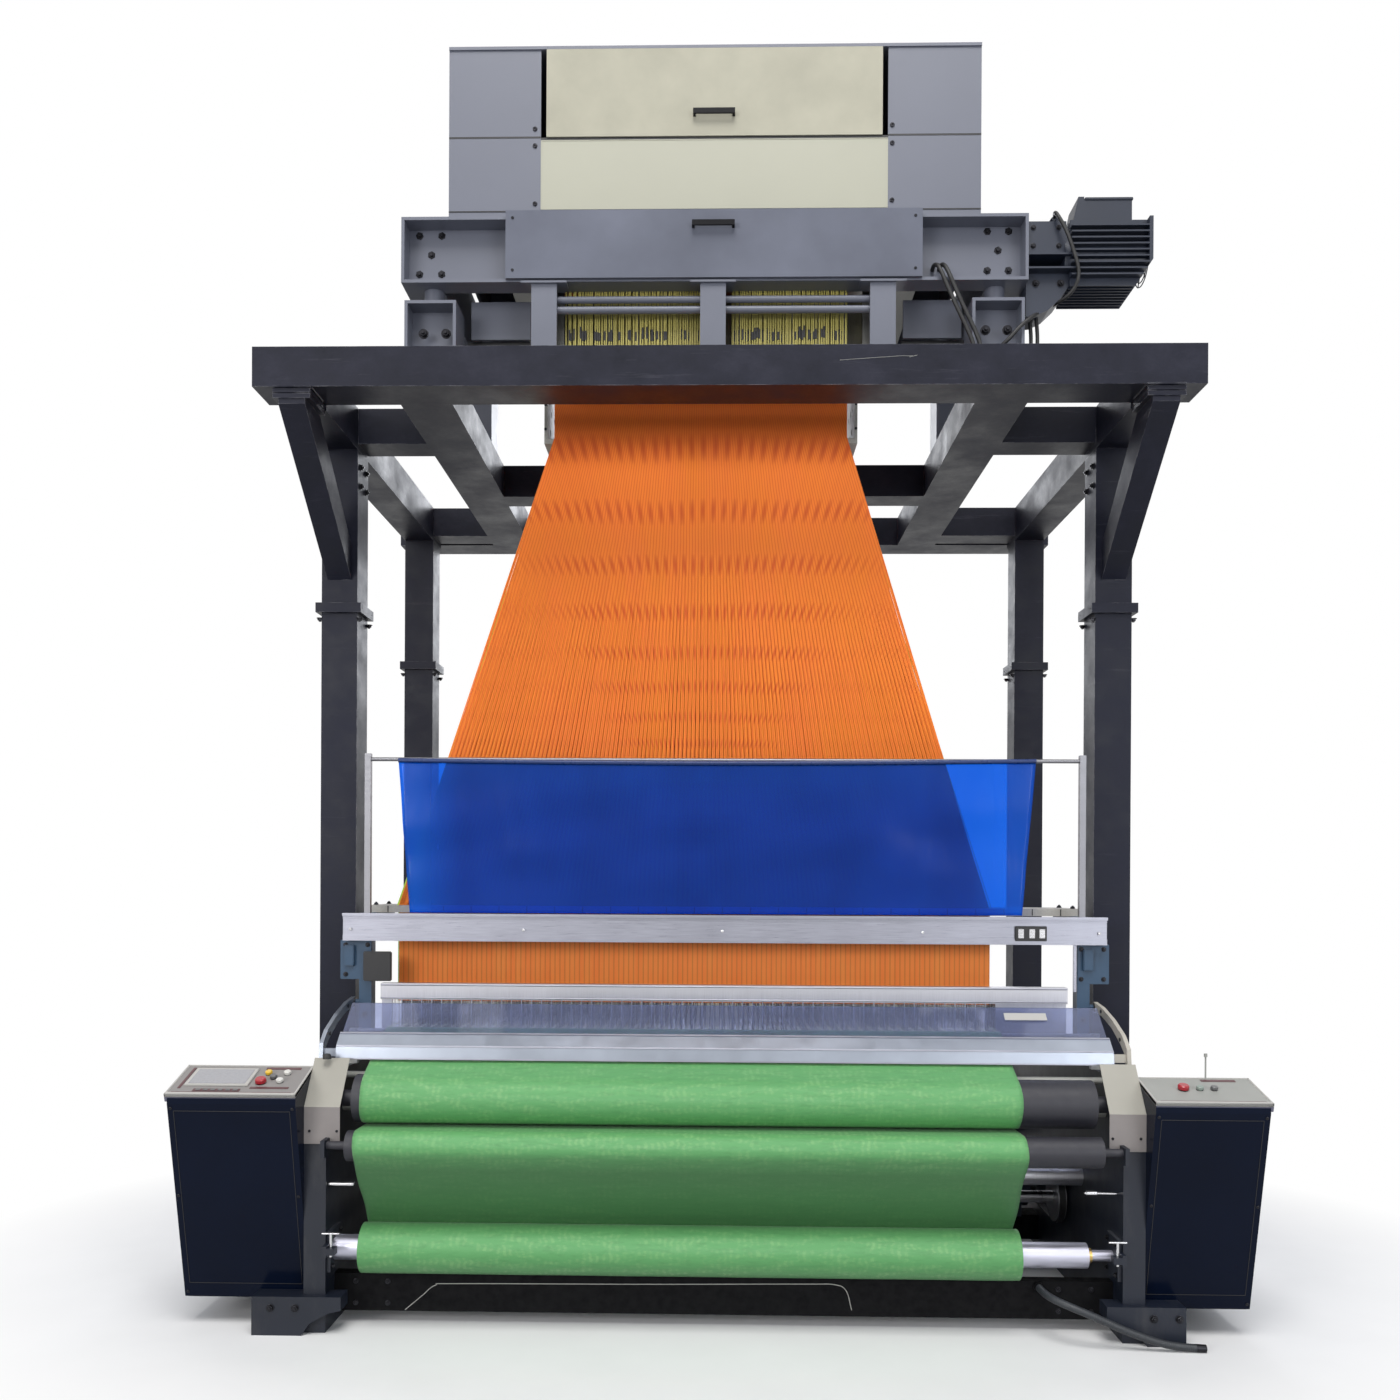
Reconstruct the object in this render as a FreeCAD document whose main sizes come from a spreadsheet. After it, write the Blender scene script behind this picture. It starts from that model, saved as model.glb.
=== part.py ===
"""Jacquard power loom: weaving machine, steel gantry and overhead jacquard machine.

Millimetres. X runs along the machine's width, Y from the weaver (front, -Y) to the warp
beam (rear, +Y), Z upwards from the floor. The middle of the loom's frame is at X = 0.
"""
import FreeCAD, Part
import math
import os
import re
import Sketcher
from FreeCAD import Placement, Rotation, Vector

doc = FreeCAD.newDocument("PowerLoom")
sheet = doc.addObject("Spreadsheet::Sheet", "Sizes")

# ---------------------------------------------------------------- driving sizes
SIZES = [
    # gantry of rectangular steel tube
    ("gantry_overhang", 70),
    ("beam_front_y", -1086),
    ("beam_back_y", 1242),
    ("beam_depth", 180),
    ("beam_height", 147),
    ("deck_z", 3614),
    ("side_beam_height", 170),
    ("tube_wall", 8),
    ("post_gap", 9),
    ("post_width", 150),
    ("front_post_y", -412),
    ("back_post_y", 958),
    ("flange_plate", 20),
    ("foot_plate_length", 240),
    ("joint_z", 2762),
    ("joint_width", 190),
    ("brace_foot_z", 2900),
    ("brace_depth", 110),
    ("brace_width", 100),
    ("bearer_width", 200),
    ("tie_y", 220),
    # jacquard machine on the gantry
    ("jacquard_x", -50),
    ("jacquard_rear_y", 60),
    ("channel_half", 1203),
    ("channel_front_y", -871),
    ("channel_depth", 90),
    ("mount_gap", 63),
    ("channel_height", 253),
    ("channel_wall", 12),
    ("rail_width", 150),
    ("mount_inset", 111),
    ("mount_width", 200),
    ("mount_depth", 160),
    ("mount_height", 275),
    ("mount_neck", 40),
    ("housing_half", 1038),
    ("housing_front_y", -788),
    ("housing_wall", 12),
    ("housing_height", 705),
    ("panel_half", 677),
    ("lower_band_height", 69),
    ("panel_height", 272),
    ("door_half", 655),
    ("door_gap", 10),
    ("door_thick", 18),
    ("cover_half", 797),
    ("cover_lap", 7),
    ("cover_height", 260),
    ("cover_thick", 16),
    ("pull_width", 163),
    ("door_pull_rise", 83),
    ("cover_pull_rise", 197),
    ("pull_depth", 26),
    ("hook_block_rise", 33),
    ("hook_length", 285),
    ("hook_half", 600),
    ("hook_y", -760),
    ("hanger_length", 312),
    ("hanger_width", 98),
    ("hanger_spacing", 650),
    ("hook_bar_r", 14),
    ("knife_rise", 125),
    ("knife_height", 40),
    ("knife_half", 700),
    ("knife_length_y", 260),
    ("knife_front_y", -570),
    ("knife_rear_y", -250),
    ("knife_bar", 16),
    ("knife_count", 6),
    ("knife_rod_r", 12),
    ("knife_rod_length", 275),
    ("jac_motor_y", -750),
    ("jac_motor_rise", 112),
    ("jac_motor_r", 106),
    ("jac_motor_length", 327),
    ("fin_height", 20),
    ("fin_thick", 6),
    ("adapter_half", 100),
    ("adapter_length", 143),
    # harness
    ("harness_x", -120),
    ("selvedge", 15),
    ("dent_count", 60),
    ("wire_width", 4),
    ("warp_slot", 9),
    ("harness_front_y", -480),
    ("harness_rear_y", -320),
    ("harness_wall", 3),
    ("comber_z", 1515),
    ("comber_thick", 30),
    ("comber_front_y", -540),
    ("comber_rear_y", -260),
    ("comber_reach", 20),
    ("guide_board_z", 3440),
    ("guide_board_thick", 20),
    ("guide_board_half", 640),
    ("guide_board_x", -100),
    ("fan_top_half", 597),
    ("spring_bar_z", 440),
    ("spring_bar_height", 50),
    # side frames
    ("cloth_clearance", 120),
    ("frame_thick", 80),
    ("frame_front_y", -1148),
    ("frame_rear_y", 1120),
    ("frame_top_z", 930),
    ("cover_top_y", -1028.7),
    ("cover_top_z", 982),
    ("cover_knee_z", 821),
    ("cover_bottom_z", 688),
    ("cover_sheet", 3),
    ("cover_reach", 51),
    ("hood_seat_z", 968.7),
    ("running_gap", 0.05),
    ("soft_gap", 0.3),
    ("foot_lap", 2),
    ("foot_left_reach", 179),
    ("foot_right_reach", 135),
    ("foot_depth", 87),
    ("foot_front_y", -1180),
    ("foot_height", 140),
    # rollers and cloth
    ("roller_gap", 90),
    ("takeup_y", -1064),
    ("takeup_z", 841),
    ("takeup_r", 88),
    ("takeup_journal", 30),
    ("press_r", 50),
    ("press_journal", 20),
    ("nip_angle", -20.8),
    ("nip_slack", 0.2),
    ("guide_y", -1181),
    ("guide_z", 690),
    ("guide_r", 55),
    ("guide_journal", 15),
    ("roll_y", -1071),
    ("roll_z", 291),
    ("roll_r", 92),
    ("core_r", 46),
    ("core_gap", 109),
    ("stub_r", 20),
    ("bracket_thick", 15),
    ("breast_y", -975),
    ("breast_z", 915),
    ("breast_r", 12),
    ("support_y", -790),
    ("support_r", 10),
    ("cloth_half", 1200),
    ("cloth_thick", 1.2),
    ("warp_z", 1066),
    ("fell_y", -756),
    ("warp_thick", 1),
    ("warp_slot_end_y", -270),
    # sley and reed
    ("sley_y", -630),
    ("sley_z", 480),
    ("rocker_r", 40),
    ("sley_gap", 65),
    ("reed_y", -640),
    ("reed_low_z", 1036),
    ("reed_cap_z", 1168),
    ("reed_cap_height", 65),
    ("reed_cap_depth", 50),
    ("reed_wire_depth", 10),
    ("sley_beam_depth", 70),
    ("sley_beam_height", 76),
    ("leg_width", 60),
    ("leg_spacing", 880),
    # drive
    ("main_shaft_y", -380),
    ("main_shaft_z", 330),
    ("main_shaft_r", 25),
    ("drive_pulley_r", 100),
    ("pulley_gap", 45),
    ("pulley_width", 35),
    ("motor_y", 60),
    ("motor_z", 290),
    ("motor_r", 110),
    ("motor_length", 290),
    ("motor_pulley_r", 50),
    ("motor_shaft_r", 15),
    ("belt_thick", 6),
    ("belt_width", 25),
    # warp beam
    ("beam_y", 830),
    ("beam_z", 560),
    ("barrel_r", 75),
    ("flange_r", 385),
    ("flange_thick", 12),
    ("winding_r", 300),
    ("beam_journal", 35),
    ("gear_teeth", 60),
    ("pinion_teeth", 12),
    ("gear_module", 8),
    ("gear_width", 25),
    ("gear_gap", 55),
    ("pinion_angle", 200),
    ("pinion_shaft_r", 12),
    ("back_rest_y", 1050),
    ("back_rest_r", 80),
    ("back_rest_journal", 25),
    # comber rail, film and hood
    ("rail_overhang", 11),
    ("rail_front_y", -661),
    ("rail_depth", 40),
    ("rail_low_z", 1404),
    ("rail_height", 110),
    ("bracket_gap", 15),
    ("bracket_width", 50),
    ("bracket_depth", 60),
    ("film_top_z", 2137),
    ("film_rod_r", 8),
    ("film_left", -1310),
    ("film_right", 1250),
    ("film_thick", 0.8),
    ("film_post", 24),
    ("hood_pivot_y", -600),
    ("hood_pivot_z", 1150),
    ("hood_pin_r", 12),
    ("hood_reach", 10),
    ("glass_inset", 10),
    ("glass_thick", 5),
    ("arm_inset", 23),
    ("arm_thick", 15),
    # control cabinets
    ("cabinet_left_width", 462),
    ("cabinet_right_width", 400),
    ("console_lip", 10),
    ("console_thick", 12),
    ("nose_y", -1245),
    ("console_rear_y", -1035),
    ("left_nose_z", 870),
    ("left_rear_z", 942),
    ("right_nose_z", 870),
    ("right_rear_z", 926),
    ("cabinet_foot_y", -1082),
    ("cabinet_low_z", 106),
    ("cabinet_rear_y", -560),
    ("cabinet_shelf_z", 845),
    ("plinth_front_y", -680),
    ("button_stem_r", 9),
    ("button_stem_length", 18),
    ("button_gap", 5),
    ("button_head_r", 13),
    ("button_head_height", 10),
    ("stop_head_r", 20),
    ("stop_head_height", 15),
    ("button_bore_depth", 26),
    # front floor panel and hose
    ("cross_front_y", -1040),
    ("cross_low_z", 46),
    ("cross_high_z", 185),
    ("cross_plate", 6),
    ("hose_r", 14),
    ("gland_r", 18),
    ("gland_x", 1166),
    ("gland_z", 166),
    ("clamp_rod_r", 5),
    ("clamp_gap", 27),
    ("clamp_y", -1172),
    ("clamp_z", 306),
    ("clamp_height", 84),
    ("clamp_half", 32),
]

DERIVED = [
    ("frame_inner", "cloth_half - harness_x + cloth_clearance"),
    ("frame_outer", "frame_inner + frame_thick"),
    ("post_x", "frame_outer + post_gap + post_width / 2"),
    ("gantry_half", "post_x + post_width / 2 + gantry_overhang"),
    ("foot_inner_x", "frame_outer - foot_lap"),
    ("foot_left_x", "frame_outer + foot_left_reach"),
    ("foot_right_x", "frame_outer + foot_right_reach"),
    ("roller_half", "frame_inner - roller_gap"),
    ("core_right_x", "frame_inner - core_gap"),
    ("cover_inner_x", "frame_inner - cover_reach"),
    ("sley_half", "frame_inner - sley_gap"),
    ("comber_half", "frame_inner + comber_reach"),
    ("pulley_x", "frame_inner - pulley_gap"),
    ("gear_x", "frame_inner - gear_gap"),
    ("rail_half", "frame_outer + rail_overhang"),
    ("bracket_inner", "frame_inner - bracket_gap"),
    ("hood_half", "frame_inner + hood_reach"),
    ("glass_half", "hood_half - glass_inset"),
    ("arm_inner", "frame_outer - arm_inset"),
    ("clamp_x", "frame_inner - clamp_gap"),
    ("cabinet_left_x", "-frame_outer - cabinet_left_width"),
    ("cabinet_right_x", "frame_outer + cabinet_right_width"),
    ("beam_low_z", "deck_z - beam_height"),
    ("side_beam_z", "deck_z - side_beam_height"),
    ("mount_x", "channel_half - mount_inset"),
    ("channel_z", "deck_z + mount_height + mount_gap"),
    ("channel_top_z", "channel_z + channel_height"),
    ("housing_top_z", "channel_top_z + housing_height"),
    ("panel_low_z", "channel_top_z + lower_band_height"),
    ("panel_high_z", "panel_low_z + panel_height"),
    ("door_low_z", "panel_high_z + door_gap"),
    ("cover_low_z", "channel_z + cover_lap"),
    ("cover_high_z", "cover_low_z + cover_height"),
    ("hook_block_z", "channel_z + hook_block_rise"),
    ("hook_low_z", "hook_block_z - hook_length"),
    ("hanger_low_z", "channel_z - hanger_length"),
    ("knife_z", "channel_top_z + knife_rise"),
    ("knife_rod_top_z", "channel_top_z + knife_rod_length"),
    ("jac_motor_z", "channel_z + jac_motor_rise"),
    ("channel_web_y", "channel_front_y + channel_depth"),
    ("housing_inner_y", "housing_front_y + housing_wall"),
    ("fan_half", "cloth_half + selvedge"),
    ("dent_pitch", "2 * fan_half / dent_count"),
    ("spring_top_z", "spring_bar_z + spring_bar_height"),
    ("comber_top_z", "comber_z + comber_thick"),
    ("hook_block_top_z", "channel_top_z"),
    ("nip_gap", "cloth_thick + 2 * soft_gap + nip_slack"),
    ("nip_distance", "takeup_r + press_r + nip_gap"),
    ("press_y", "takeup_y + nip_distance * cos(nip_angle)"),
    ("press_z", "takeup_z + nip_distance * sin(nip_angle)"),
    ("support_z", "warp_z - support_r - soft_gap - cloth_thick / 2"),
    ("back_rest_z", "warp_z - back_rest_r - soft_gap - warp_thick / 2"),
    ("gear_pitch_r", "gear_module * gear_teeth / 2"),
    ("pinion_pitch_r", "gear_module * pinion_teeth / 2"),
    ("gear_distance", "gear_pitch_r + pinion_pitch_r"),
    ("pinion_y", "beam_y + gear_distance * cos(pinion_angle)"),
    ("pinion_z", "beam_z + gear_distance * sin(pinion_angle)"),
    ("rail_top_z", "rail_low_z + rail_height"),
    ("rail_rear_y", "rail_front_y + rail_depth"),
    ("bracket_rear_y", "rail_rear_y + bracket_depth"),
    ("bracket_outer", "bracket_inner + bracket_width"),
]

NAMES = {name for name, _ in SIZES + DERIVED}
WORD = re.compile(r"[a-z][a-z_0-9]*")


def sheet_formula(text):
    """Name the sheet in front of each size in a formula."""
    return WORD.sub(lambda m: "Sizes." + m.group() if m.group() in NAMES else m.group(), text)


for row, (name, value) in enumerate(SIZES + DERIVED, start=1):
    sheet.set(f"A{row}", name)
    sheet.set(f"B{row}", str(value) if row <= len(SIZES) else "=" + value)
    sheet.setAlias(f"B{row}", name)
doc.recompute()


def size(name):
    return float(sheet.get(name))


# ---------------------------------------------------------------- building blocks
AXIS_TURN = {
    "x": Rotation(Vector(0, 1, 0), 90),
    "y": Rotation(Vector(1, 0, 0), -90),
    "z": Rotation(),
}


def bind(thing, **values):
    for prop, text in values.items():
        thing.setExpression(prop, sheet_formula(str(text)))
    return thing


def move(thing, x, y, z):
    for prop, text in (("x", x), ("y", y), ("z", z)):
        thing.setExpression("Placement.Base." + prop, sheet_formula(str(text)))
    return thing


def block(name, xs, ys, zs):
    """A block between three pairs of planes."""
    solid = doc.addObject("Part::Box", name)
    bind(
        solid,
        Length=f"({xs[1]}) - ({xs[0]})",
        Width=f"({ys[1]}) - ({ys[0]})",
        Height=f"({zs[1]}) - ({zs[0]})",
    )
    return move(solid, xs[0], ys[0], zs[0])


def rod(name, axis, start, length, radius):
    """A round bar from its start point along one axis."""
    solid = doc.addObject("Part::Cylinder", name)
    solid.Placement = Placement(Vector(), AXIS_TURN[axis])
    bind(solid, Radius=radius, Height=length)
    return move(solid, *start)


def bar(name, y, z, radius, left, right):
    """A round bar that lies along the machine's width."""
    return rod(name, "x", (left, y, z), f"({right}) - ({left})", radius)


def fuse(name, *solids):
    whole = doc.addObject("Part::MultiFuse", name)
    whole.Shapes = list(solids)
    whole.Refine = True
    return whole


def cut(name, base, *tools):
    whole = doc.addObject("Part::Cut", name)
    whole.Base = base
    whole.Tool = tools[0] if len(tools) == 1 else group(name + "_tools", *tools)
    return whole


def group(name, *solids):
    """Separate solids that share one file."""
    whole = doc.addObject("Part::Compound", name)
    whole.Links = list(solids)
    return whole


def shaped(name, shape):
    thing = doc.addObject("Part::Feature", name)
    thing.Shape = shape
    return thing


def sides(inner, outer):
    """The X span of a piece on the left and on the right of the machine."""
    return {"left": (f"-({outer})", f"-({inner})"), "right": (inner, outer)}


PLANES = {"yz": "YZ_Plane", "xz": "XZ_Plane", "xy": "XY_Plane"}


def profile(name, plane, outline, start, length, holes=()):
    """Pad a sketched outline with round holes, from `start` along the plane's normal."""
    body = doc.addObject("PartDesign::Body", name)
    sketch = body.newObject("Sketcher::SketchObject", name + "_outline")
    base = next(o for o in body.Origin.OriginFeatures if o.Role == PLANES[plane])
    sketch.AttachmentSupport = [(base, "")]
    sketch.MapMode = "FlatFace"
    count = len(outline)
    corners = [Vector(math.cos(6.2 * i / count), math.sin(6.2 * i / count), 0) for i in range(count)]
    sketch.addGeometry(
        [Part.LineSegment(corners[i], corners[(i + 1) % count]) for i in range(count)], False
    )
    for i in range(count):
        sketch.addConstraint(Sketcher.Constraint("Coincident", i, 2, (i + 1) % count, 1))
    for i, (across, up) in enumerate(outline):
        place_point(sketch, i, 1, corners[i], across, up)
    for i, (across, up, radius) in enumerate(holes):
        centre = Vector(3 * i + 9, 0, 0)
        edge = sketch.addGeometry(Part.Circle(centre, Vector(0, 0, 1), 1), False)
        place_point(sketch, edge, 3, centre, across, up)
        index = sketch.addConstraint(Sketcher.Constraint("Radius", edge, 1.0))
        sketch.setExpression(f"Constraints[{index}]", sheet_formula(radius))
    offset = start if plane != "xz" else f"-({start})"
    sketch.setExpression("AttachmentOffset.Base.z", sheet_formula(str(offset)))
    pad = body.newObject("PartDesign::Pad", name + "_pad")
    pad.Profile = sketch
    pad.Reversed = plane == "xz"
    bind(pad, Length=length)
    return body


def place_point(sketch, edge, vertex, at, across, up):
    for kind, value, text in (("DistanceX", at.x, across), ("DistanceY", at.y, up)):
        index = sketch.addConstraint(Sketcher.Constraint(kind, -1, 1, edge, vertex, value))
        sketch.setExpression(f"Constraints[{index}]", sheet_formula(str(text)))


def round_edges(body, chosen, radius):
    """Fillet the edges of a body's last feature that `chosen` accepts."""
    doc.recompute()
    last = body.Tip
    names = [f"Edge{i + 1}" for i, edge in enumerate(last.Shape.Edges) if chosen(edge)]
    fillet = body.newObject("PartDesign::Fillet", body.Name + "_rounding")
    fillet.Base = (last, names)
    bind(fillet, Radius=radius)
    return body


def tube_beam(name, xs, ys, zs, along):
    """A rectangular hollow beam with open ends."""
    spans = {"x": xs, "y": ys, "z": zs}
    inner = {
        key: span if key == along else (f"{span[0]} + tube_wall", f"{span[1]} - tube_wall")
        for key, span in spans.items()
    }
    outside = block(name + "_outside", xs, ys, zs)
    inside = block(name + "_inside", inner["x"], inner["y"], inner["z"])
    return cut(name, outside, inside)


def yz_point(y, z):
    return Vector(0, y, z)


def strap_path(rounds):
    """Directions of the straight stretches of a strap that runs over circles.

    Each circle is (y, z, radius, turn), with turn 1 where the strap turns anticlockwise
    seen from +X and -1 where it turns clockwise. A radius of 0 is a plain end point.
    """
    directions = []
    for (y1, z1, r1, s1), (y2, z2, r2, s2) in zip(rounds, rounds[1:]):
        distance = math.hypot(y2 - y1, z2 - z1)
        lean = math.asin((s2 * r2 - s1 * r1) / distance)
        directions.append(math.atan2(z2 - z1, y2 - y1) - lean)
    return directions


def strap_point(circle, direction, side):
    """Where a stretch with this direction meets a circle, `side` mm to the left of it."""
    y, z, radius, turn = circle
    reach = turn * radius - side
    return yz_point(y + reach * math.sin(direction), z - reach * math.cos(direction))


def strap_side(rounds, directions, side):
    """Edges along one side of a strap, from its first circle to its last."""
    edges = []
    for i, direction in enumerate(directions):
        start = strap_point(rounds[i], direction, side)
        end = strap_point(rounds[i + 1], direction, side)
        edges.append(Part.LineSegment(start, end).toShape())
        if i + 1 < len(directions):
            turn = rounds[i + 1][3]
            sweep = (turn * (directions[i + 1] - direction)) % (2 * math.pi)
            middle = strap_point(rounds[i + 1], direction + turn * sweep / 2, side)
            leave = strap_point(rounds[i + 1], directions[i + 1], side)
            edges.append(Part.Arc(end, middle, leave).toShape())
    return edges


def strap(rounds, thick, left, right):
    """A thin strap over a row of circles, as wide as from left to right."""
    directions = strap_path(rounds)
    near = strap_side(rounds, directions, thick / 2)
    far = strap_side(rounds, directions, -thick / 2)
    first = Part.LineSegment(near[0].Vertexes[0].Point, far[0].Vertexes[0].Point).toShape()
    last = Part.LineSegment(near[-1].Vertexes[-1].Point, far[-1].Vertexes[-1].Point).toShape()
    wire = Part.Wire(Part.__sortEdges__(near + [last] + far + [first]))
    solid = Part.Face(wire).extrude(Vector(right - left, 0, 0))
    solid.translate(Vector(left, 0, 0))
    return solid


def slotted_plate(xs, zs, y, thick, slots):
    """An upright plate with a row of four-sided slots, each a list of (x, z) corners."""
    (x0, x1), (z0, z1) = xs, zs
    outline = [(x0, z0), (x1, z0), (x1, z1), (x0, z1)]
    return slotted_face([Vector(x, y, z) for x, z in outline],
                        [[Vector(x, y, z) for x, z in slot] for slot in slots],
                        Vector(0, thick, 0))


def slotted_face(outline, slots, thickness):
    wires = [Part.makePolygon(corners + corners[:1]) for corners in [outline] + slots]
    face = Part.Face(wires)
    face.validate()
    return face.extrude(thickness)


def rounded_pipe(points, radius, label):
    """A tube along straight runs joined by tangent arcs as large as the runs allow."""
    edges = []
    radii = []
    at = points[0]
    for before, corner, after in zip(points, points[1:], points[2:]):
        come = (corner - before).normalize()
        leave = (after - corner).normalize()
        half = come.getAngle(leave) / 2
        cut_back = 0.45 * min((corner - before).Length, (after - corner).Length)
        bend = cut_back / math.tan(half)
        radii.append(bend)
        start = corner - come * cut_back
        end = corner + leave * cut_back
        inward = (leave - come).normalize()
        middle = corner + inward * (bend / math.cos(half) - bend)
        edges.append(Part.LineSegment(at, start).toShape())
        edges.append(Part.Arc(start, middle, end).toShape())
        at = end
    edges.append(Part.LineSegment(at, points[-1]).toShape())
    path = Part.Wire(edges)
    ring = Part.Wire(Part.makeCircle(radius, points[0], points[1] - points[0]))
    tube = path.makePipeShell([ring], True, True)
    expected = math.pi * radius**2 * path.Length
    print(f"{label}: length {path.Length:.0f} mm, volume ratio {tube.Volume / expected:.4f}")
    print(f"{label}: bend radii", [round(bend) for bend in radii])
    return tube


parts = {}


def keep(name, thing):
    """Register a finished piece under its name."""
    thing.Label = name
    parts[name] = thing
    return thing


MIRROR = (("left", -1), ("right", 1))


# ---------------------------------------------------------------- gantry
def gantry_post(side, x, row, y):
    tag = f"post_{side}_{row}"
    half = "post_width / 2"
    xs = (f"{x} - {half}", f"{x} + {half}")
    ys = (f"{y} - {half}", f"{y} + {half}")
    wide = (f"{x} - joint_width / 2", f"{x} + joint_width / 2")
    deep = (f"{y} - joint_width / 2", f"{y} + joint_width / 2")
    foot = (f"{y} - foot_plate_length / 2", f"{y} + foot_plate_length / 2")
    outside = fuse(
        tag + "_steel",
        block(tag + "_outside", xs, ys, ("0", "side_beam_z")),
        block(tag + "_foot", xs, foot, ("0", "flange_plate")),
        block(tag + "_joint", wide, deep, ("joint_z", "joint_z + 2 * flange_plate")),
    )
    inside = block(
        tag + "_inside",
        (f"{xs[0]} + tube_wall", f"{xs[1]} - tube_wall"),
        (f"{ys[0]} + tube_wall", f"{ys[1]} - tube_wall"),
        ("flange_plate", "side_beam_z"),
    )
    return cut(tag, outside, inside)


def gantry_brace(side, left, right):
    """A slanted box from the front post up to the overhanging front beam, with its plates."""
    rear = "front_post_y - post_width / 2"
    body = profile(
        f"brace_{side}_body",
        "yz",
        [
            (rear, "brace_foot_z"),
            (rear, "brace_foot_z + 1.3 * brace_depth"),
            ("beam_front_y + beam_depth", "beam_low_z - 2 * flange_plate"),
            ("beam_front_y + 10", "beam_low_z - 2 * flange_plate"),
            ("beam_front_y + 10", "beam_low_z - 3 * flange_plate"),
        ],
        left,
        f"({right}) - ({left})",
    )
    plates = [
        block(
            f"brace_{side}_plate_{i}",
            (f"({left}) - 20", f"({right}) + 20"),
            ("beam_front_y + 5", "beam_front_y + beam_depth"),
            (f"beam_low_z - {2 - i} * flange_plate", f"beam_low_z - {1 - i} * flange_plate - 3"),
        )
        for i in range(2)
    ]
    spine = block(
        f"brace_{side}_spine",
        (f"({left}) + 20", f"({right}) - 20"),
        ("beam_front_y + 15", "beam_front_y + beam_depth - 10"),
        ("beam_low_z - 2 * flange_plate", "beam_low_z"),
    )
    return fuse(f"brace_{side}", body, spine, *plates)


def build_gantry():
    posts = [
        gantry_post(side, f"{sign} * post_x", row, y)
        for side, sign in MIRROR
        for row, y in (("front", "front_post_y"), ("back", "back_post_y"))
    ]
    keep("gantry_posts", group("gantry_posts", *posts))

    width = ("-gantry_half", "gantry_half")
    level = ("beam_low_z", "deck_z")
    front = ("beam_front_y", "beam_front_y + beam_depth")
    back = ("beam_back_y - beam_depth", "beam_back_y")
    between = (front[1], back[0])
    deck = [
        tube_beam("front_beam", width, front, level, "x"),
        tube_beam("back_beam", width, back, level, "x"),
    ]
    for side, sign in MIRROR:
        x = f"{sign} * post_x"
        span = (f"{x} - post_width / 2", f"{x} + post_width / 2")
        deck.append(tube_beam(f"side_beam_{side}", span, between, ("side_beam_z", "deck_z"), "y"))
        x = f"jacquard_x + {sign} * mount_x"
        span = (f"{x} - bearer_width / 2", f"{x} + bearer_width / 2")
        deck.append(tube_beam(f"bearer_{side}", span, between, level, "y"))
    inner = ("jacquard_x - mount_x - bearer_width / 2", "jacquard_x + mount_x + bearer_width / 2")
    outer = ("post_width / 2 - post_x", "post_x - post_width / 2")
    for row, y in (("front", "front_post_y"), ("back", "back_post_y")):
        deep = (f"{y} - post_width / 2", f"{y} + post_width / 2")
        deck.append(tube_beam(f"spreader_left_{row}", (outer[0], inner[0]), deep, level, "x"))
        deck.append(tube_beam(f"spreader_right_{row}", (inner[1], outer[1]), deep, level, "x"))
    middle = (
        "jacquard_x - mount_x + bearer_width / 2",
        "jacquard_x + mount_x - bearer_width / 2",
    )
    ties = ("tie_y", "tie_y + post_width")
    deck.append(tube_beam("middle_tie", middle, ties, level, "x"))
    keep("gantry_deck", group("gantry_deck", *deck))

    reach = sides("post_x - brace_width / 2", "post_x + brace_width / 2")
    braces = [gantry_brace(side, *reach[side]) for side in ("left", "right")]
    keep("gantry_braces", group("gantry_braces", *braces))


# ---------------------------------------------------------------- jacquard machine
def jacquard_span(half):
    return (f"jacquard_x - {half}", f"jacquard_x + {half}")


def front_channel():
    """Cross channel, open to the front, with closed ends and a row of screw seats."""
    xs = jacquard_span("channel_half")
    outside = block(
        "channel_outside", xs, ("channel_front_y", "channel_web_y"), ("channel_z", "channel_top_z")
    )
    recess = block(
        "channel_recess",
        (f"{xs[0]} + channel_wall", f"{xs[1]} - channel_wall"),
        ("channel_front_y", "channel_web_y - channel_wall"),
        ("channel_z + channel_wall", "channel_top_z - channel_wall"),
    )
    return cut("front_channel", outside, recess)


def jacquard_mount(side, sign, row, y):
    """An open-fronted foot with a neck that carries the machine on its bearer."""
    tag = f"mount_{side}_{row}"
    x = f"jacquard_x + {sign} * mount_x"
    xs = (f"{x} - mount_width / 2", f"{x} + mount_width / 2")
    ys = (y, f"{y} + mount_depth")
    shell = block(tag + "_shell", xs, ys, ("deck_z", "deck_z + mount_height"))
    recess = block(
        tag + "_recess",
        (f"{xs[0]} + channel_wall", f"{xs[1]} - channel_wall"),
        (y, f"{y} + mount_depth / 2"),
        ("deck_z + channel_wall", "deck_z + mount_height - channel_wall"),
    )
    neck = rod(
        tag + "_neck",
        "z",
        (x, f"{y} + mount_depth / 2", "deck_z + mount_height - channel_wall / 2"),
        "channel_z - deck_z - mount_height + channel_wall",
        "mount_neck",
    )
    return [cut(tag + "_foot", shell, recess), neck]


def jacquard_hanger(index):
    """A T-shaped upright that hangs from the channel and holds the two front bars."""
    x = f"jacquard_x + {index - 1} * hanger_spacing"
    ys = ("channel_front_y", "channel_front_y + 20")
    stem = block(
        f"hanger_{index}_stem",
        (f"{x} - hanger_width / 2", f"{x} + hanger_width / 2"),
        ys,
        ("hanger_low_z", "channel_z"),
    )
    head = block(
        f"hanger_{index}_head",
        (f"{x} - 0.9 * hanger_width", f"{x} + 0.9 * hanger_width"),
        ("channel_front_y - 12", "channel_front_y + 50"),
        ("channel_z - 8", "channel_z"),
    )
    return [stem, head]


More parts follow.
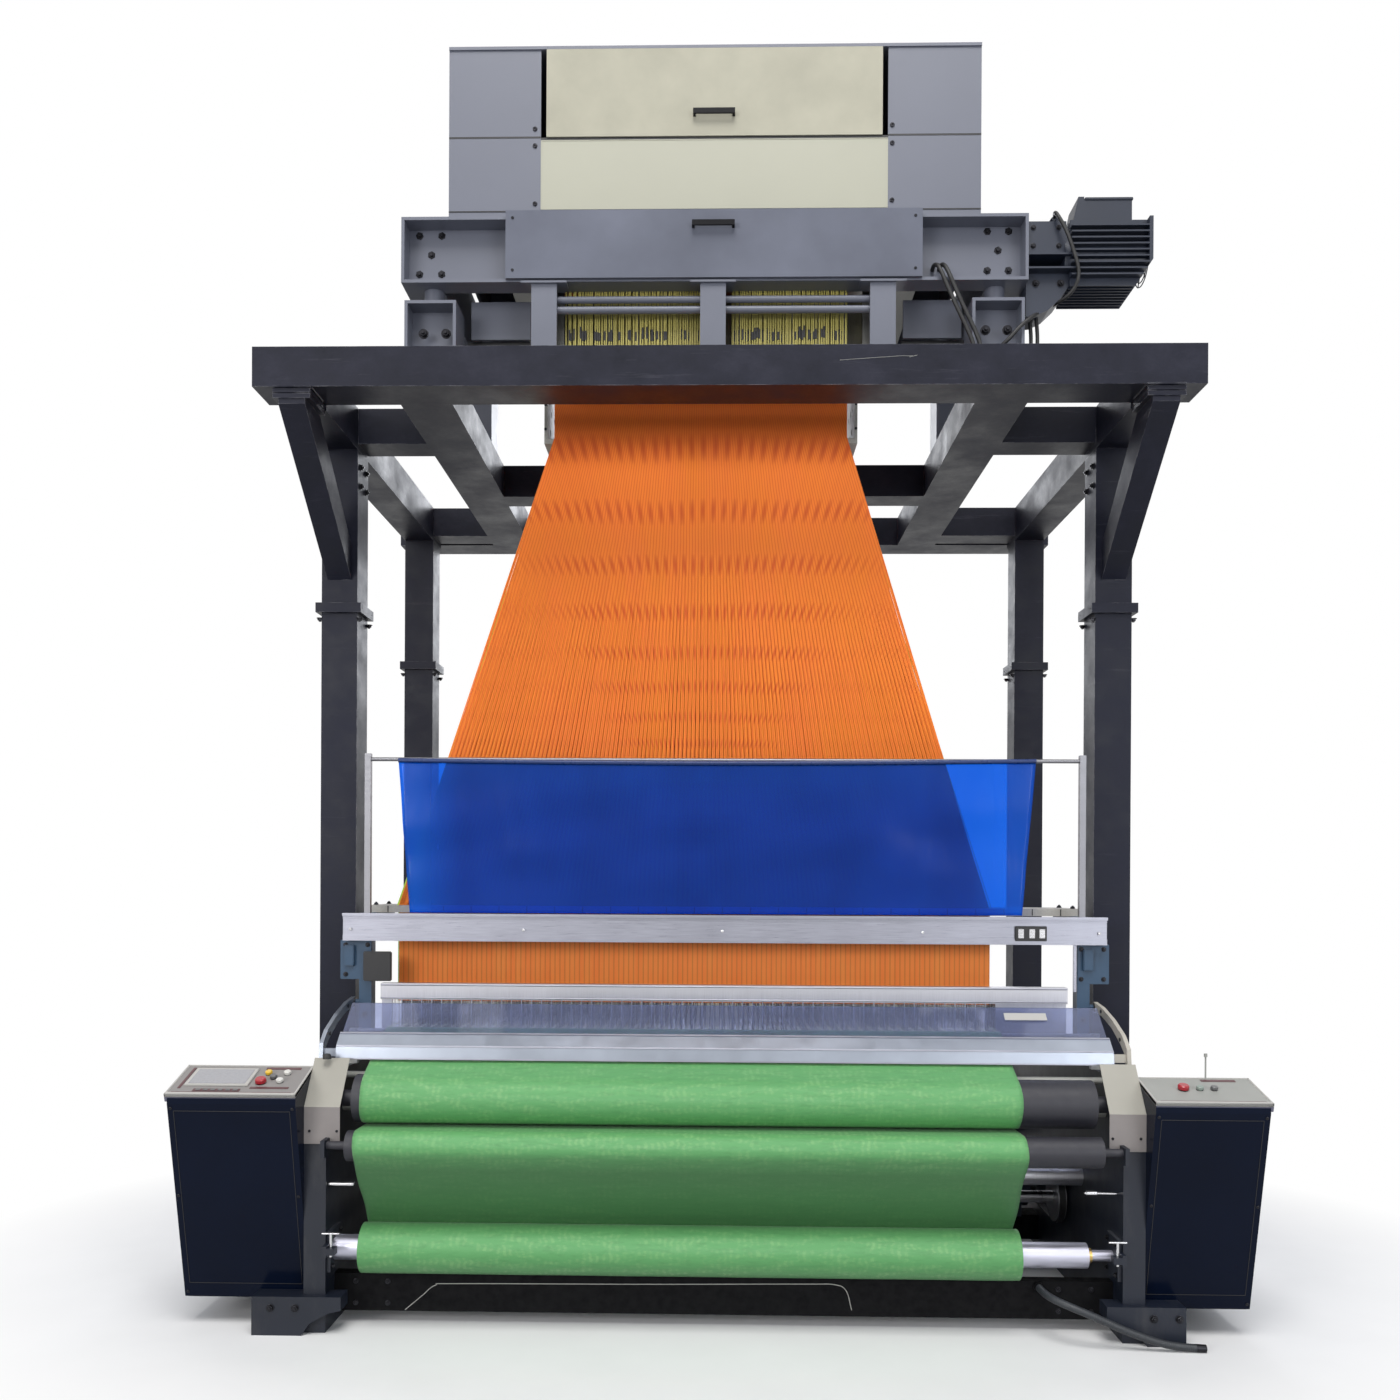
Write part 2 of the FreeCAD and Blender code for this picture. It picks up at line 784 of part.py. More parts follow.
def build_jacquard_frame():
    members = [front_channel()]
    xs = jacquard_span("channel_half")
    level = ("channel_z", "channel_top_z")
    members.append(
        block(
            "rear_channel",
            xs,
            ("jacquard_rear_y - channel_depth", "jacquard_rear_y"),
            level,
        )
    )
    between = ("channel_web_y", "jacquard_rear_y - channel_depth")
    for side, sign in MIRROR:
        x = f"jacquard_x + {sign} * (channel_half - rail_width / 2)"
        span = (f"{x} - rail_width / 2", f"{x} + rail_width / 2")
        members.append(block(f"jacquard_rail_{side}", span, between, level))
        members += jacquard_mount(side, sign, "front", "channel_front_y + 10")
        members += jacquard_mount(side, sign, "rear", "jacquard_rear_y - mount_depth")
    for index in range(3):
        members += jacquard_hanger(index)
    bar_ends = ("jacquard_x - hanger_spacing", "jacquard_x + hanger_spacing")
    bar_y = "channel_front_y + 20 + hook_bar_r - 2"
    members.append(bar("hook_bar", bar_y, "channel_z - 96", "hook_bar_r", *bar_ends))
    members.append(bar("cord_bar", bar_y, "channel_z - 56", "hook_bar_r / 2 + 6", *bar_ends))
    keep("jacquard_frame", fuse("jacquard_frame", *members))


def build_housing():
    """Sheet walls of the jacquard machine, its fixed front panels and the door."""
    xs = jacquard_span("housing_half")
    inner = (f"{xs[0]} + housing_wall", f"{xs[1]} - housing_wall")
    depth = ("housing_inner_y", "jacquard_rear_y")
    level = ("channel_top_z", "housing_top_z")
    shell = block("housing_outside", xs, depth, level)
    space = block(
        "housing_space",
        inner,
        ("housing_inner_y", "jacquard_rear_y - housing_wall"),
        ("channel_top_z", "housing_top_z - housing_wall"),
    )
    roof_lip = block(
        "roof_lip",
        xs,
        ("housing_inner_y - door_thick", "housing_inner_y"),
        ("housing_top_z - housing_wall", "housing_top_z"),
    )
    walls = [fuse("housing_shell", cut("housing_sheets", shell, space), roof_lip)]
    front = ("housing_front_y", "housing_inner_y")
    roof = "housing_top_z - housing_wall"
    walls.append(
        block("stile_left", (xs[0], "jacquard_x - panel_half"), front, ("channel_top_z", roof))
    )
    walls.append(
        block("stile_right", ("jacquard_x + panel_half", xs[1]), front, ("channel_top_z", roof))
    )
    middle = jacquard_span("panel_half")
    walls.append(block("lower_band", middle, front, ("channel_top_z", "panel_low_z")))
    keep("jacquard_walls", group("jacquard_walls", *walls))
    keep(
        "jacquard_front_panel",
        block("jacquard_front_panel", middle, front, ("panel_low_z", "panel_high_z")),
    )

    leaf_front = "housing_inner_y - door_thick"
    leaf = block(
        "door_leaf",
        jacquard_span("door_half"),
        (leaf_front, "housing_inner_y"),
        ("door_low_z", "housing_top_z - housing_wall - soft_gap"),
    )
    door_pull = pull("door_pull", leaf_front, "door_low_z + door_pull_rise")
    keep("upper_door", fuse("upper_door", leaf, *door_pull))
    face = "channel_front_y - soft_gap - cover_thick"
    panel = block(
        "cover_panel",
        jacquard_span("cover_half"),
        (face, "channel_front_y - soft_gap"),
        ("cover_low_z", "cover_high_z"),
    )
    cover_pull = pull("cover_pull", face, "cover_low_z + cover_pull_rise")
    keep("lower_cover", fuse("lower_cover", panel, *cover_pull))


def pull(name, face_y, z):
    """A shallow bow handle on a front face."""
    half = "pull_width / 2"
    grip = block(
        name + "_grip",
        (f"jacquard_x - {half}", f"jacquard_x + {half}"),
        (f"{face_y} - pull_depth", f"{face_y} - pull_depth + 8"),
        (f"{z} - 10", f"{z} + 10"),
    )
    ends = [
        block(
            f"{name}_{side}",
            (f"jacquard_x + {at} - 5", f"jacquard_x + {at} + 5"),
            (f"{face_y} - pull_depth + 4", f"{face_y} + 2"),
            (f"{z} - 10", f"{z} + 10"),
        )
        for side, at in (("left", f"5 - {half}"), ("right", f"{half} - 5"))
    ]
    return [grip] + ends


def build_hooks():
    """The block of lifting hooks, its guide rods and the comb of hooks in front."""
    block_y = ("channel_web_y", "jacquard_rear_y - channel_depth")
    body = block(
        "hook_body", jacquard_span("cover_half"), block_y, ("hook_block_z", "hook_block_top_z")
    )
    rods = [
        rod(
            f"knife_rod_{side}_{row}",
            "z",
            (f"jacquard_x + {sign} * (knife_half - 2 * knife_bar)", y, "hook_block_top_z"),
            "knife_rod_top_z - hook_block_top_z",
            "knife_rod_r",
        )
        for side, sign in MIRROR
        for row, y in (("front", "knife_front_y"), ("rear", "knife_rear_y"))
    ]
    hooks = []
    for index in range(13):
        x = f"jacquard_x + {index - 6} * hook_half / 6"
        hooks.append(
            block(
                f"hook_{index}",
                (f"{x} - 15", f"{x} + 15"),
                ("hook_y", "hook_y + 12"),
                ("hook_low_z", "hook_block_z"),
            )
        )
    keep("hook_block", group("hook_block", body, *rods, *hooks))

    for row, y in (("front", "knife_front_y"), ("rear", "knife_rear_y")):
        keep(f"knife_frame_{row}", knife_frame(row, y))


def knife_frame(row, y):
    """Two end bars on guide rods with blades across, that lift the hooks."""
    ys = (f"{y} - knife_length_y / 2", f"{y} + knife_length_y / 2")
    level = ("knife_z", "knife_z + knife_height")
    members = []
    for side, sign in MIRROR:
        x = f"jacquard_x + {sign} * (knife_half - 2 * knife_bar)"
        end = block(f"knife_{row}_{side}", (f"{x} - 2 * knife_bar", f"{x} + 2 * knife_bar"), ys, level)
        bore = rod(
            f"knife_{row}_{side}_bore",
            "z",
            (x, y, "knife_z - 5"),
            "knife_height + 10",
            "knife_rod_r + running_gap",
        )
        members.append(cut(f"knife_{row}_{side}_end", end, bore))
    pitch = "(knife_length_y - knife_bar) / (knife_count - 1)"
    span = jacquard_span("(knife_half - 4 * knife_bar + 2)")
    for index in range(int(size("knife_count"))):
        at = f"{ys[0]} + {index} * {pitch}"
        members.append(block(f"knife_{row}_{index}", span, (at, f"{at} + knife_bar"), level))
    return fuse(f"knife_frame_{row}", *members)


CABLE_STEPS = [
    (0, 78, 76),
    (0, 36, 76),
    (8, -2, 56),
    (22, -22, 12),
    (42, -25, -39),
    (76, -25, -114),
    (115, -25, -194),
    (144, -25, -264),
]


def build_jacquard_drive():
    """Finned motor with its terminal box, adapter, channel bracket and gusset."""
    end = "jacquard_x + channel_half"
    far = f"{end} + adapter_length"
    last = f"{far} + jac_motor_length"
    y, z = "jac_motor_y", "jac_motor_z"
    core = bar("jac_motor_core", y, z, "jac_motor_r", far, last)
    depth = (f"{y} - adapter_half", f"{y} + adapter_half")
    level = (f"{z} - 12", f"{z} + adapter_half + 20")
    adapter = block("jac_adapter", (end, f"{far} + 5"), depth, level)
    fins = []
    reach = "jac_motor_r + fin_height"
    for index in range(9):
        at = f"{(index - 4) * 0.22:.2f} * jac_motor_r"
        span = (f"{far} + 20", f"{last} - 12")
        level = (f"{z} + {at} - fin_thick / 2", f"{z} + {at} + fin_thick / 2")
        fins.append(block(f"side_fin_{index}", span, (f"{y} - ({reach})", f"{y} + {reach}"), level))
        deep = (f"{y} + {at} - fin_thick / 2", f"{y} + {at} + fin_thick / 2")
        level = (f"{z} - ({reach})", f"{z} + {reach}")
        fins.append(block(f"top_fin_{index}", span, deep, level))
    cowl = cut(
        "jac_cowl",
        block(
            "jac_cowl_box",
            (f"{last} - 14", last),
            (f"{y} - ({reach})", f"{y} + {reach}"),
            (f"{z} - ({reach})", f"{z} + {reach}"),
        ),
        bar("jac_cowl_mouth", y, z, "0.8 * jac_motor_r", f"{last} - 4", f"{last} + 4"),
    )
    box = profile(
        "terminal_box",
        "xz",
        [
            (f"{far} + 44", f"{z} + {reach} - 30"),
            (f"{far} + 265", f"{z} + {reach} - 30"),
            (f"{far} + 265", f"{z} + {reach} + 98"),
            (f"{far} + 82", f"{z} + {reach} + 98"),
            (f"{far} + 82", f"{z} + {reach} + 106"),
            (f"{far} + 60", f"{z} + {reach} + 106"),
            (f"{far} + 44", f"{z} + {reach} + 30"),
        ],
        f"{y} - 66",
        "132",
    )
    tray_x = (end, f"{far} + 42")
    tray = cut(
        "jac_tray",
        block("jac_tray_bar", tray_x, (f"{y} - 122", f"{y} + 100"), (f"{z} - 70", f"{z} - 10")),
        block(
            "jac_tray_recess",
            (f"{end} - 1", f"{far} + 43"),
            (f"{y} - 123", f"{y} + 60"),
            (f"{z} - 63", f"{z} - 17"),
        ),
    )
    gusset = profile(
        "jac_gusset",
        "xz",
        [
            (end, f"{z} - 69"),
            (f"{far} + 41", f"{z} - 69"),
            (f"{far} + 41", f"{z} - 91"),
            (f"{far} - 12", f"{z} - 167"),
            (f"{far} - 57", f"{z} - 210"),
            (f"{far} - 103", f"{z} - 232"),
            (end, f"{z} - 236"),
        ],
        f"{y} - 80",
        "120",
    )
    motor = fuse("jac_motor_steel", core, adapter, box, cowl, gusset, *fins)
    corner = profile(
        "jac_corner",
        "xz",
        [
            (f"{last} + 2", f"{z} - 34"),
            (f"{last} + 2", f"{z} - 140"),
            (f"{last} - 66", f"{z} - 140"),
        ],
        f"{y} - 140",
        "280",
    )
    keep("jacquard_motor", fuse("jacquard_motor", cut("jac_motor_trimmed", motor, corner), tray))

    corner = Vector(size("jacquard_x") + size("cover_half") + 53, size("channel_front_y"), size("channel_z"))
    foot = Vector(corner.x + 144, corner.y - 25, size("deck_z"))
    cables = []
    for lane, shift in (("outer", 26), ("inner", 0)):
        points = [corner + Vector(*step) for step in CABLE_STEPS] + [foot]
        points = [point + Vector(shift, 0, 0) for point in points]
        cables.append(shaped(f"cable_{lane}", rounded_pipe(points, 8, f"cable {lane}")))
    keep("jacquard_cables", group("jacquard_cables", *cables))


# ---------------------------------------------------------------- harness
def dent_lines():
    """X of each dent wire, from the left edge of the warp to the right."""
    left = size("harness_x") - size("fan_half")
    return [left + size("dent_pitch") * i for i in range(int(size("dent_count")) + 1)]


def build_harness():
    ys = ("comber_front_y", "comber_rear_y")
    comber = block(
        "comber_board", ("-comber_half", "comber_half"), ys, ("comber_z", "comber_top_z")
    )
    wide = ("guide_board_x - guide_board_half", "guide_board_x + guide_board_half")
    deep = ("harness_front_y - 80", "harness_rear_y + 80")
    top = "guide_board_z + guide_board_thick"
    guide = block("guide_board", wide, deep, ("guide_board_z", top))
    hangers = []
    for side, x in (("left", wide[0]), ("right", f"{wide[1]} - housing_wall")):
        plate = block(
            f"guide_plate_{side}", (x, f"{x} + housing_wall"), deep, (top, "hook_block_z")
        )
        holes = [
            rod(
                f"guide_hole_{side}_{i}",
                "x",
                (f"{x} - 5", f"(harness_front_y + harness_rear_y) / 2 + {40 * i - 60}",
                 f"{top} + {60 + 90 * (i % 2)}"),
                "housing_wall + 10",
                "14",
            )
            for i in range(4)
        ]
        hangers.append(cut(f"guide_hanger_{side}", plate, *holes))
    keep("harness_boards", group("harness_boards", comber, fuse("guide_frame", guide, *hangers)))

    lines = dent_lines()
    half_wire = size("wire_width") / 2
    top_left = size("guide_board_x") - size("fan_top_half")
    top_pitch = 2 * size("fan_top_half") / size("dent_count")
    low, high = size("comber_top_z"), size("guide_board_z")
    edge = 12
    fan = []
    for row in ("front", "rear"):
        y = size(f"harness_{row}_y")
        corners = [(lines[0] - edge, low), (lines[-1] + edge, low),
                   (top_left + 2 * size("fan_top_half") + edge, high), (top_left - edge, high)]
        slots = []
        for i in range(int(size("dent_count"))):
            low_left, low_right = lines[i] + half_wire, lines[i + 1] - half_wire
            up_left = top_left + top_pitch * i + half_wire
            up_right = top_left + top_pitch * (i + 1) - half_wire
            slots.append([(low_left, low + 30), (low_right, low + 30),
                          (up_right, high - 30), (up_left, high - 30)])
        face = slotted_face(
            [Vector(x, y, z) for x, z in corners],
            [[Vector(x, y, z) for x, z in slot] for slot in slots],
            Vector(0, size("harness_wall"), 0),
        )
        fan.append(shaped(f"fan_{row}", face))
    keep("harness_fan", group("harness_fan", *fan))

    walls = []
    low, high = size("spring_top_z"), size("comber_z")
    for row in ("front", "rear"):
        slots = [
            [(a + half_wire, low + 30), (b - half_wire, low + 30),
             (b - half_wire, high - 30), (a + half_wire, high - 30)]
            for a, b in zip(lines, lines[1:])
        ]
        span = (lines[0] - half_wire, lines[-1] + half_wire)
        plate = slotted_plate(
            span, (low, high), size(f"harness_{row}_y"), size("harness_wall"), slots
        )
        walls.append(shaped(f"heddle_wall_{row}", plate))
    keep("heddles", group("heddles", *walls))


# ---------------------------------------------------------------- warp and cloth
def build_warp_sheet():
    """The sheet of warp threads: open strips through reed and heddles, closed behind."""
    lines = dent_lines()
    half_slot = size("warp_slot") / 2
    thick = size("warp_thick")
    left, right = lines[0] + half_slot, lines[-1] - half_slot
    rounds = [
        (size("fell_y") - 0.1, size("warp_z"), 0, 1),
        (size("back_rest_y"), size("back_rest_z"), size("back_rest_r") + size("soft_gap")
         + thick / 2, -1),
        (size("beam_y"), size("beam_z"), size("winding_r") + size("soft_gap") + thick / 2, -1),
    ]
    solid = strap(rounds, thick, left, right)
    front = size("fell_y") + 5
    rear = size("warp_slot_end_y")
    slots = [
        Part.makeBox(2 * half_slot, rear - front, 10, Vector(x - half_slot, front,
                                                              size("warp_z") - 5))
        for x in lines[1:-1]
    ]
    keep("warp_sheet", shaped("warp_sheet", solid.cut(slots)))


def build_cloth():
    """The woven cloth from the fell, round the take-up rollers and down to the cloth roll."""
    grow = size("soft_gap") + size("cloth_thick") / 2
    rounds = [
        (size("fell_y") - 0.2, size("warp_z"), 0, 1),
        (size("support_y"), size("support_z"), size("support_r") + grow, 1),
        (size("takeup_y"), size("takeup_z"), size("takeup_r") + grow, 1),
        (size("press_y"), size("press_z"), size("press_r") + grow, -1),
        (size("guide_y"), size("guide_z"), size("guide_r") + grow, 1),
        (size("roll_y"), size("roll_z"), size("roll_r") + grow, -1),
    ]
    left = size("harness_x") - size("cloth_half")
    right = size("harness_x") + size("cloth_half")
    keep("cloth_sheet", shaped("cloth_sheet", strap(rounds, size("cloth_thick"), left, right)))


def plain_roller(name, y, z, radius, journal, reach):
    return fuse(
        name,
        bar(name + "_barrel", y, z, radius, "-roller_half", "roller_half"),
        bar(name + "_journal", y, z, journal, f"-({reach})", reach),
    )


def build_rollers():
    deep = "frame_outer - 10"
    keep(
        "takeup_roller",
        plain_roller("takeup_roller", "takeup_y", "takeup_z", "takeup_r", "takeup_journal", deep),
    )
    keep(
        "press_roller",
        plain_roller("press_roller", "press_y", "press_z", "press_r", "press_journal", deep),
    )
    keep(
        "guide_roller",
        plain_roller(
            "guide_roller", "guide_y", "guide_z", "guide_r", "guide_journal", "frame_inner - 1"
        ),
    )
    keep(
        "back_rest_roller",
        plain_roller(
            "back_rest_roller",
            "back_rest_y",
            "back_rest_z",
            "back_rest_r",
            "back_rest_journal",
            deep,
        ),
    )
    left_end = "1 - frame_inner"
    core = fuse(
        "cloth_core",
        bar("core_tube", "roll_y", "roll_z", "core_r", left_end, "core_right_x"),
        bar("core_stub", "roll_y", "roll_z", "stub_r", "core_right_x - 5", "frame_inner - 1"),
    )
    keep("cloth_core", core)
    span = ("harness_x - cloth_half", "harness_x + cloth_half")
    wound = cut(
        "cloth_winding",
        bar("cloth_wound", "roll_y", "roll_z", "roll_r", *span),
        bar("cloth_hollow", "roll_y", "roll_z", "core_r", f"{span[0]} - 5", f"{span[1]} + 5"),
    )
    keep("cloth_winding", wound)


def gear_face(teeth, module, y, z, turn, x):
    """Outline of a spur gear with straight flanks, one tooth centred on `turn` radians."""
    pitch_r = module * teeth / 2
    pitch = 2 * math.pi / teeth
    profile_points = (
        (-0.34, pitch_r - 1.15 * module),
        (-0.12, pitch_r + 0.9 * module),
        (0.12, pitch_r + 0.9 * module),
        (0.34, pitch_r - 1.15 * module),
    )
    points = [
        Vector(x, y + r * math.cos(turn + (i + share) * pitch), z + r * math.sin(turn + (i + share) * pitch))
        for i in range(teeth)
        for share, r in profile_points
    ]
    return Part.Face(Part.makePolygon(points + points[:1]))


def build_warp_beam():
    lines = dent_lines()
    span = [lines[0], lines[-1]]
    y, z = "beam_y", "beam_z"
    members = [
        bar("barrel", y, z, "barrel_r", "10 - frame_inner", "frame_inner - 10"),
        bar("barrel_journal", y, z, "beam_journal", "10 - frame_outer", "frame_outer - 10"),
        bar("flange_left", y, z, "flange_r", "harness_x - fan_half - flange_thick",
            "harness_x - fan_half"),
        bar("flange_right", y, z, "flange_r", "harness_x + fan_half",
            "harness_x + fan_half + flange_thick"),
    ]
    turn = math.radians(size("pinion_angle"))
    face = gear_face(int(size("gear_teeth")), size("gear_module"), size("beam_y"), size("beam_z"),
                     turn, size("gear_x"))
    members.append(shaped("beam_gear", face.extrude(Vector(size("gear_width"), 0, 0))))
    keep("warp_beam", fuse("warp_beam", *members))
    wound = cut(
        "warp_winding",
        bar("warp_wound", y, z, "winding_r", "harness_x - fan_half", "harness_x + fan_half"),
        bar("warp_hollow", y, z, "barrel_r", span[0] - 5, span[1] + 5),
    )
    keep("warp_winding", wound)

    teeth = int(size("pinion_teeth"))
    half_pitch = math.pi / teeth
    face = gear_face(teeth, size("gear_module"), size("pinion_y"), size("pinion_z"),
                     turn + math.pi + half_pitch, size("gear_x"))
    toothed = shaped("pinion_teeth_form", face.extrude(Vector(size("gear_width"), 0, 0)))
    shaft = bar("pinion_shaft", "pinion_y", "pinion_z", "pinion_shaft_r", "gear_x - 20",
                "frame_outer - 10")
    keep("letoff_pinion", fuse("letoff_pinion", toothed, shaft))
    motor = block(
        "letoff_body",
        ("gear_x - 120", "gear_x - 10"),
        ("pinion_y - 60", "pinion_y + 60"),
        ("pinion_z - 60", "pinion_z + 60"),
    )
    arm = block(
        "letoff_arm",
        ("gear_x - 60", "frame_inner"),
        ("pinion_y - 120", "pinion_y - 59"),
        ("pinion_z - 30", "pinion_z + 30"),
    )
    bore = bar("letoff_bore", "pinion_y", "pinion_z", "pinion_shaft_r + running_gap",
               "gear_x - 22", "gear_x")
    keep("letoff_motor", cut("letoff_motor", fuse("letoff_steel", motor, arm), bore))


# ---------------------------------------------------------------- loom frame
GUSSET_OUTLINE = [
    ("frame_inner - 66", "foot_height"),
    ("frame_inner - 66", "0.65 * foot_height"),
    ("frame_inner - 22", "0.585 * foot_height"),
    ("frame_inner + 23", "0.415 * foot_height"),
    ("frame_inner + 51", "0.29 * foot_height"),
    ("foot_inner_x", "0"),
]


def build_side_frames():
    outline = [
        ("frame_front_y", "0"),
        ("frame_rear_y", "0"),
        ("frame_rear_y", "back_rest_z + back_rest_journal + 35"),
        ("back_rest_y - 90", "back_rest_z + back_rest_journal + 35"),
        ("back_rest_y - 150", "frame_top_z"),
        ("cover_top_y + 100", "frame_top_z"),
        ("cover_top_y + 75", "hood_seat_z"),
        ("cover_top_y + 7", "hood_seat_z"),
        ("cover_top_y", "cover_top_z"),
        ("frame_front_y", "cover_knee_z"),
    ]
    bores = [
        ("takeup_y", "takeup_z", "takeup_journal + running_gap"),
        ("press_y", "press_z", "press_journal + running_gap"),
        ("sley_y", "sley_z", "rocker_r + running_gap"),
        ("main_shaft_y", "main_shaft_z", "main_shaft_r + running_gap"),
        ("beam_y", "beam_z", "beam_journal + running_gap"),
        ("back_rest_y", "back_rest_z", "back_rest_journal + running_gap"),
    ]
    for side, (start, _) in sides("frame_inner", "frame_outer").items():
        holes = list(bores)
        if side == "right":
            holes.append(("pinion_y", "pinion_z", "pinion_shaft_r + running_gap"))
        body = profile(f"casting_{side}", "yz", outline, start, "frame_thick", holes)
        sign = dict(MIRROR)[side]
        toe_outline = [
            *GUSSET_OUTLINE,
            (f"foot_{side}_x", "0"),
            (f"foot_{side}_x", "foot_height"),
        ]
        toe = profile(
            f"toe_{side}",
            "xz",
            [(f"{sign} * ({x})", z) for x, z in toe_outline],
            "foot_front_y",
            "foot_depth",
        )
        low, high = sides("foot_inner_x", f"foot_{side}_x")[side]
        heel = block(
            f"heel_{side}",
            (low, high),
            ("foot_front_y + foot_depth - 5", "frame_front_y + 150"),
            ("0", "0.6 * foot_height"),
        )
        rear = block(
            f"rear_foot_{side}",
            (low, high),
            ("back_post_y - 320", "back_post_y - 135"),
            ("0", "0.4 * foot_height"),
        )
        keep(f"side_frame_{side}", fuse(f"side_frame_{side}", body, toe, heel, rear))


def build_cross_members():
    xs = ("-frame_inner", "frame_inner")
    panel = block(
        "floor_panel",
        xs,
        ("cross_front_y", "cross_front_y + cross_plate"),
        ("cross_low_z", "cross_high_z"),
    )
    lips = [
        block(
            f"floor_panel_lip_{i}",
            xs,
            ("cross_front_y", "cross_front_y + 50"),
            (f"{z} - cross_plate / 2", f"{z} + cross_plate / 2"),
        )
        for i, z in enumerate(("cross_low_z + cross_plate / 2", "cross_high_z - cross_plate / 2"))
    ]
    gland = rod(
        "hose_gland", "y", ("gland_x", "cross_front_y - 16", "gland_z"), "20", "gland_r"
    )
    members = [
        fuse("front_member", panel, gland, *lips),
        block("rear_member", xs, ("frame_rear_y - 110", "frame_rear_y - 30"), ("40", "130")),
        block("motor_member", xs, ("motor_y - 60", "motor_y + 60"), ("40", "motor_z - motor_r - 30")),
        block(
            "spring_bar",
            xs,
            ("harness_front_y - 20", "harness_rear_y + 20"),
            ("spring_bar_z", "spring_top_z"),
        ),
    ]
    keep("cross_members", group("cross_members", *members))

    tie = bar("tie_bar", "breast_y", "breast_z", "breast_r", "-frame_inner", "frame_inner")
    rest = bar("cloth_rest", "support_y", "support_z", "support_r", "-frame_inner", "frame_inner")
    holders = []
    for side, (low, high) in sides("frame_inner - 12", "frame_inner + 20").items():
        holders.append(
            block(
                f"cloth_rest_holder_{side}",
                (low, high),
                ("support_y - 14", "support_y + 14"),
                ("frame_top_z", "support_z + support_r"),
            )
        )
    keep("breast_bars", group("breast_bars", tie, fuse("cloth_rest_bar", rest, *holders)))


def bearing_cover(side, start, width):
    """Bent sheet over the front bearings: a slope, a knee and a straight skirt."""
    slope = math.atan2(
        size("cover_top_z") - size("cover_knee_z"), size("cover_top_y") - size("frame_front_y")
    )
    thick = size("cover_sheet")
    top = yz_point(size("cover_top_y"), size("cover_top_z"))
    knee = yz_point(size("frame_front_y"), size("cover_knee_z"))
    low = yz_point(size("frame_front_y"), size("cover_bottom_z"))
    out = yz_point(-thick, 0)
    points = [
        top,
        knee,
        low,
        low + out,
        knee + out + yz_point(0, thick * math.tan((math.pi / 2 - slope) / 2)),
        top + yz_point(-thick * math.sin(slope), thick * math.cos(slope)),
    ]
    solid = Part.Face(Part.makePolygon(points + points[:1])).extrude(Vector(width, 0, 0))
    solid.translate(Vector(start, 0, 0))
    return shaped(f"bearing_cover_{side}", solid)


def build_front_details():
    doc.recompute()
    width = size("frame_outer") - size("cover_inner_x")
    covers = []
    for side, start in (("left", -size("frame_outer")), ("right", size("cover_inner_x"))):
        covers.append(bearing_cover(side, start, width))
    keep("bearing_covers", group("bearing_covers", *covers))

    plates = []
    for side, sign in MIRROR:
        low, high = sides("frame_inner - bracket_thick", "frame_inner")[side]
        arm = block(
            f"guide_arm_{side}",
            (low, high),
            ("guide_y - 34", "frame_front_y + 40"),
            ("guide_z - 40", "guide_z + 22"),
        )
        bore = bar(f"guide_bore_{side}", "guide_y", "guide_z", "guide_journal + running_gap",
                   f"{low} - 5", f"{high} + 5")
        slot = block(
            f"cover_slot_{side}",
            (f"{low} - 5", f"{high} + 5"),
            ("frame_front_y - cover_sheet - soft_gap", "frame_front_y"),
            ("cover_bottom_z - soft_gap", "guide_z + 23"),
        )
        plates.append(cut(f"guide_bracket_{side}", arm, bore, slot))
        cradle = block(
            f"roll_cradle_{side}",
            (low, high),
            ("roll_y - 65", "roll_y + 65"),
            ("roll_z - 75", "roll_z + 75"),
        )
        reach = block(
            f"clamp_reach_{side}",
            (low, high),
            ("clamp_y - 18", "roll_y - 60"),
            ("clamp_z - 20", "clamp_z + 20"),
        )
        near, far = sides("clamp_x - 18", "frame_inner - 10")[side]
        lug = block(
            f"clamp_lug_{side}",
            (near, far),
            ("clamp_y - 18", "clamp_y + 18"),
            ("clamp_z - 12", "clamp_z + 12"),
        )
        inner_r = "core_r + running_gap" if sign < 0 else "stub_r + running_gap"
        bore = bar(f"roll_bore_{side}", "roll_y", "roll_z", inner_r, f"{low} - 5", f"{high} + 5")
        x = f"{sign} * clamp_x"
        screw = rod(
            f"clamp_bore_{side}",
            "z",
            (x, "clamp_y", "clamp_z - 30"),
            "60",
            "clamp_rod_r + running_gap",
        )
        plate = fuse(f"roll_plate_{side}", cradle, reach, lug)
        plates.append(cut(f"roll_bracket_{side}", plate, bore, screw))
        stem = rod(
            f"clamp_stem_{side}", "z", (x, "clamp_y", "clamp_z - 22"), "clamp_height", "clamp_rod_r"
        )
        grip = bar(
            f"clamp_grip_{side}",
            "clamp_y",
            "clamp_z - 22 + clamp_height",
            "clamp_rod_r - 1",
            f"{x} - clamp_half",
            f"{x} + clamp_half",
        )
        keep(f"clamp_handle_{side}", fuse(f"clamp_handle_{side}", stem, grip))
    keep("roll_brackets", group("roll_brackets", *plates))


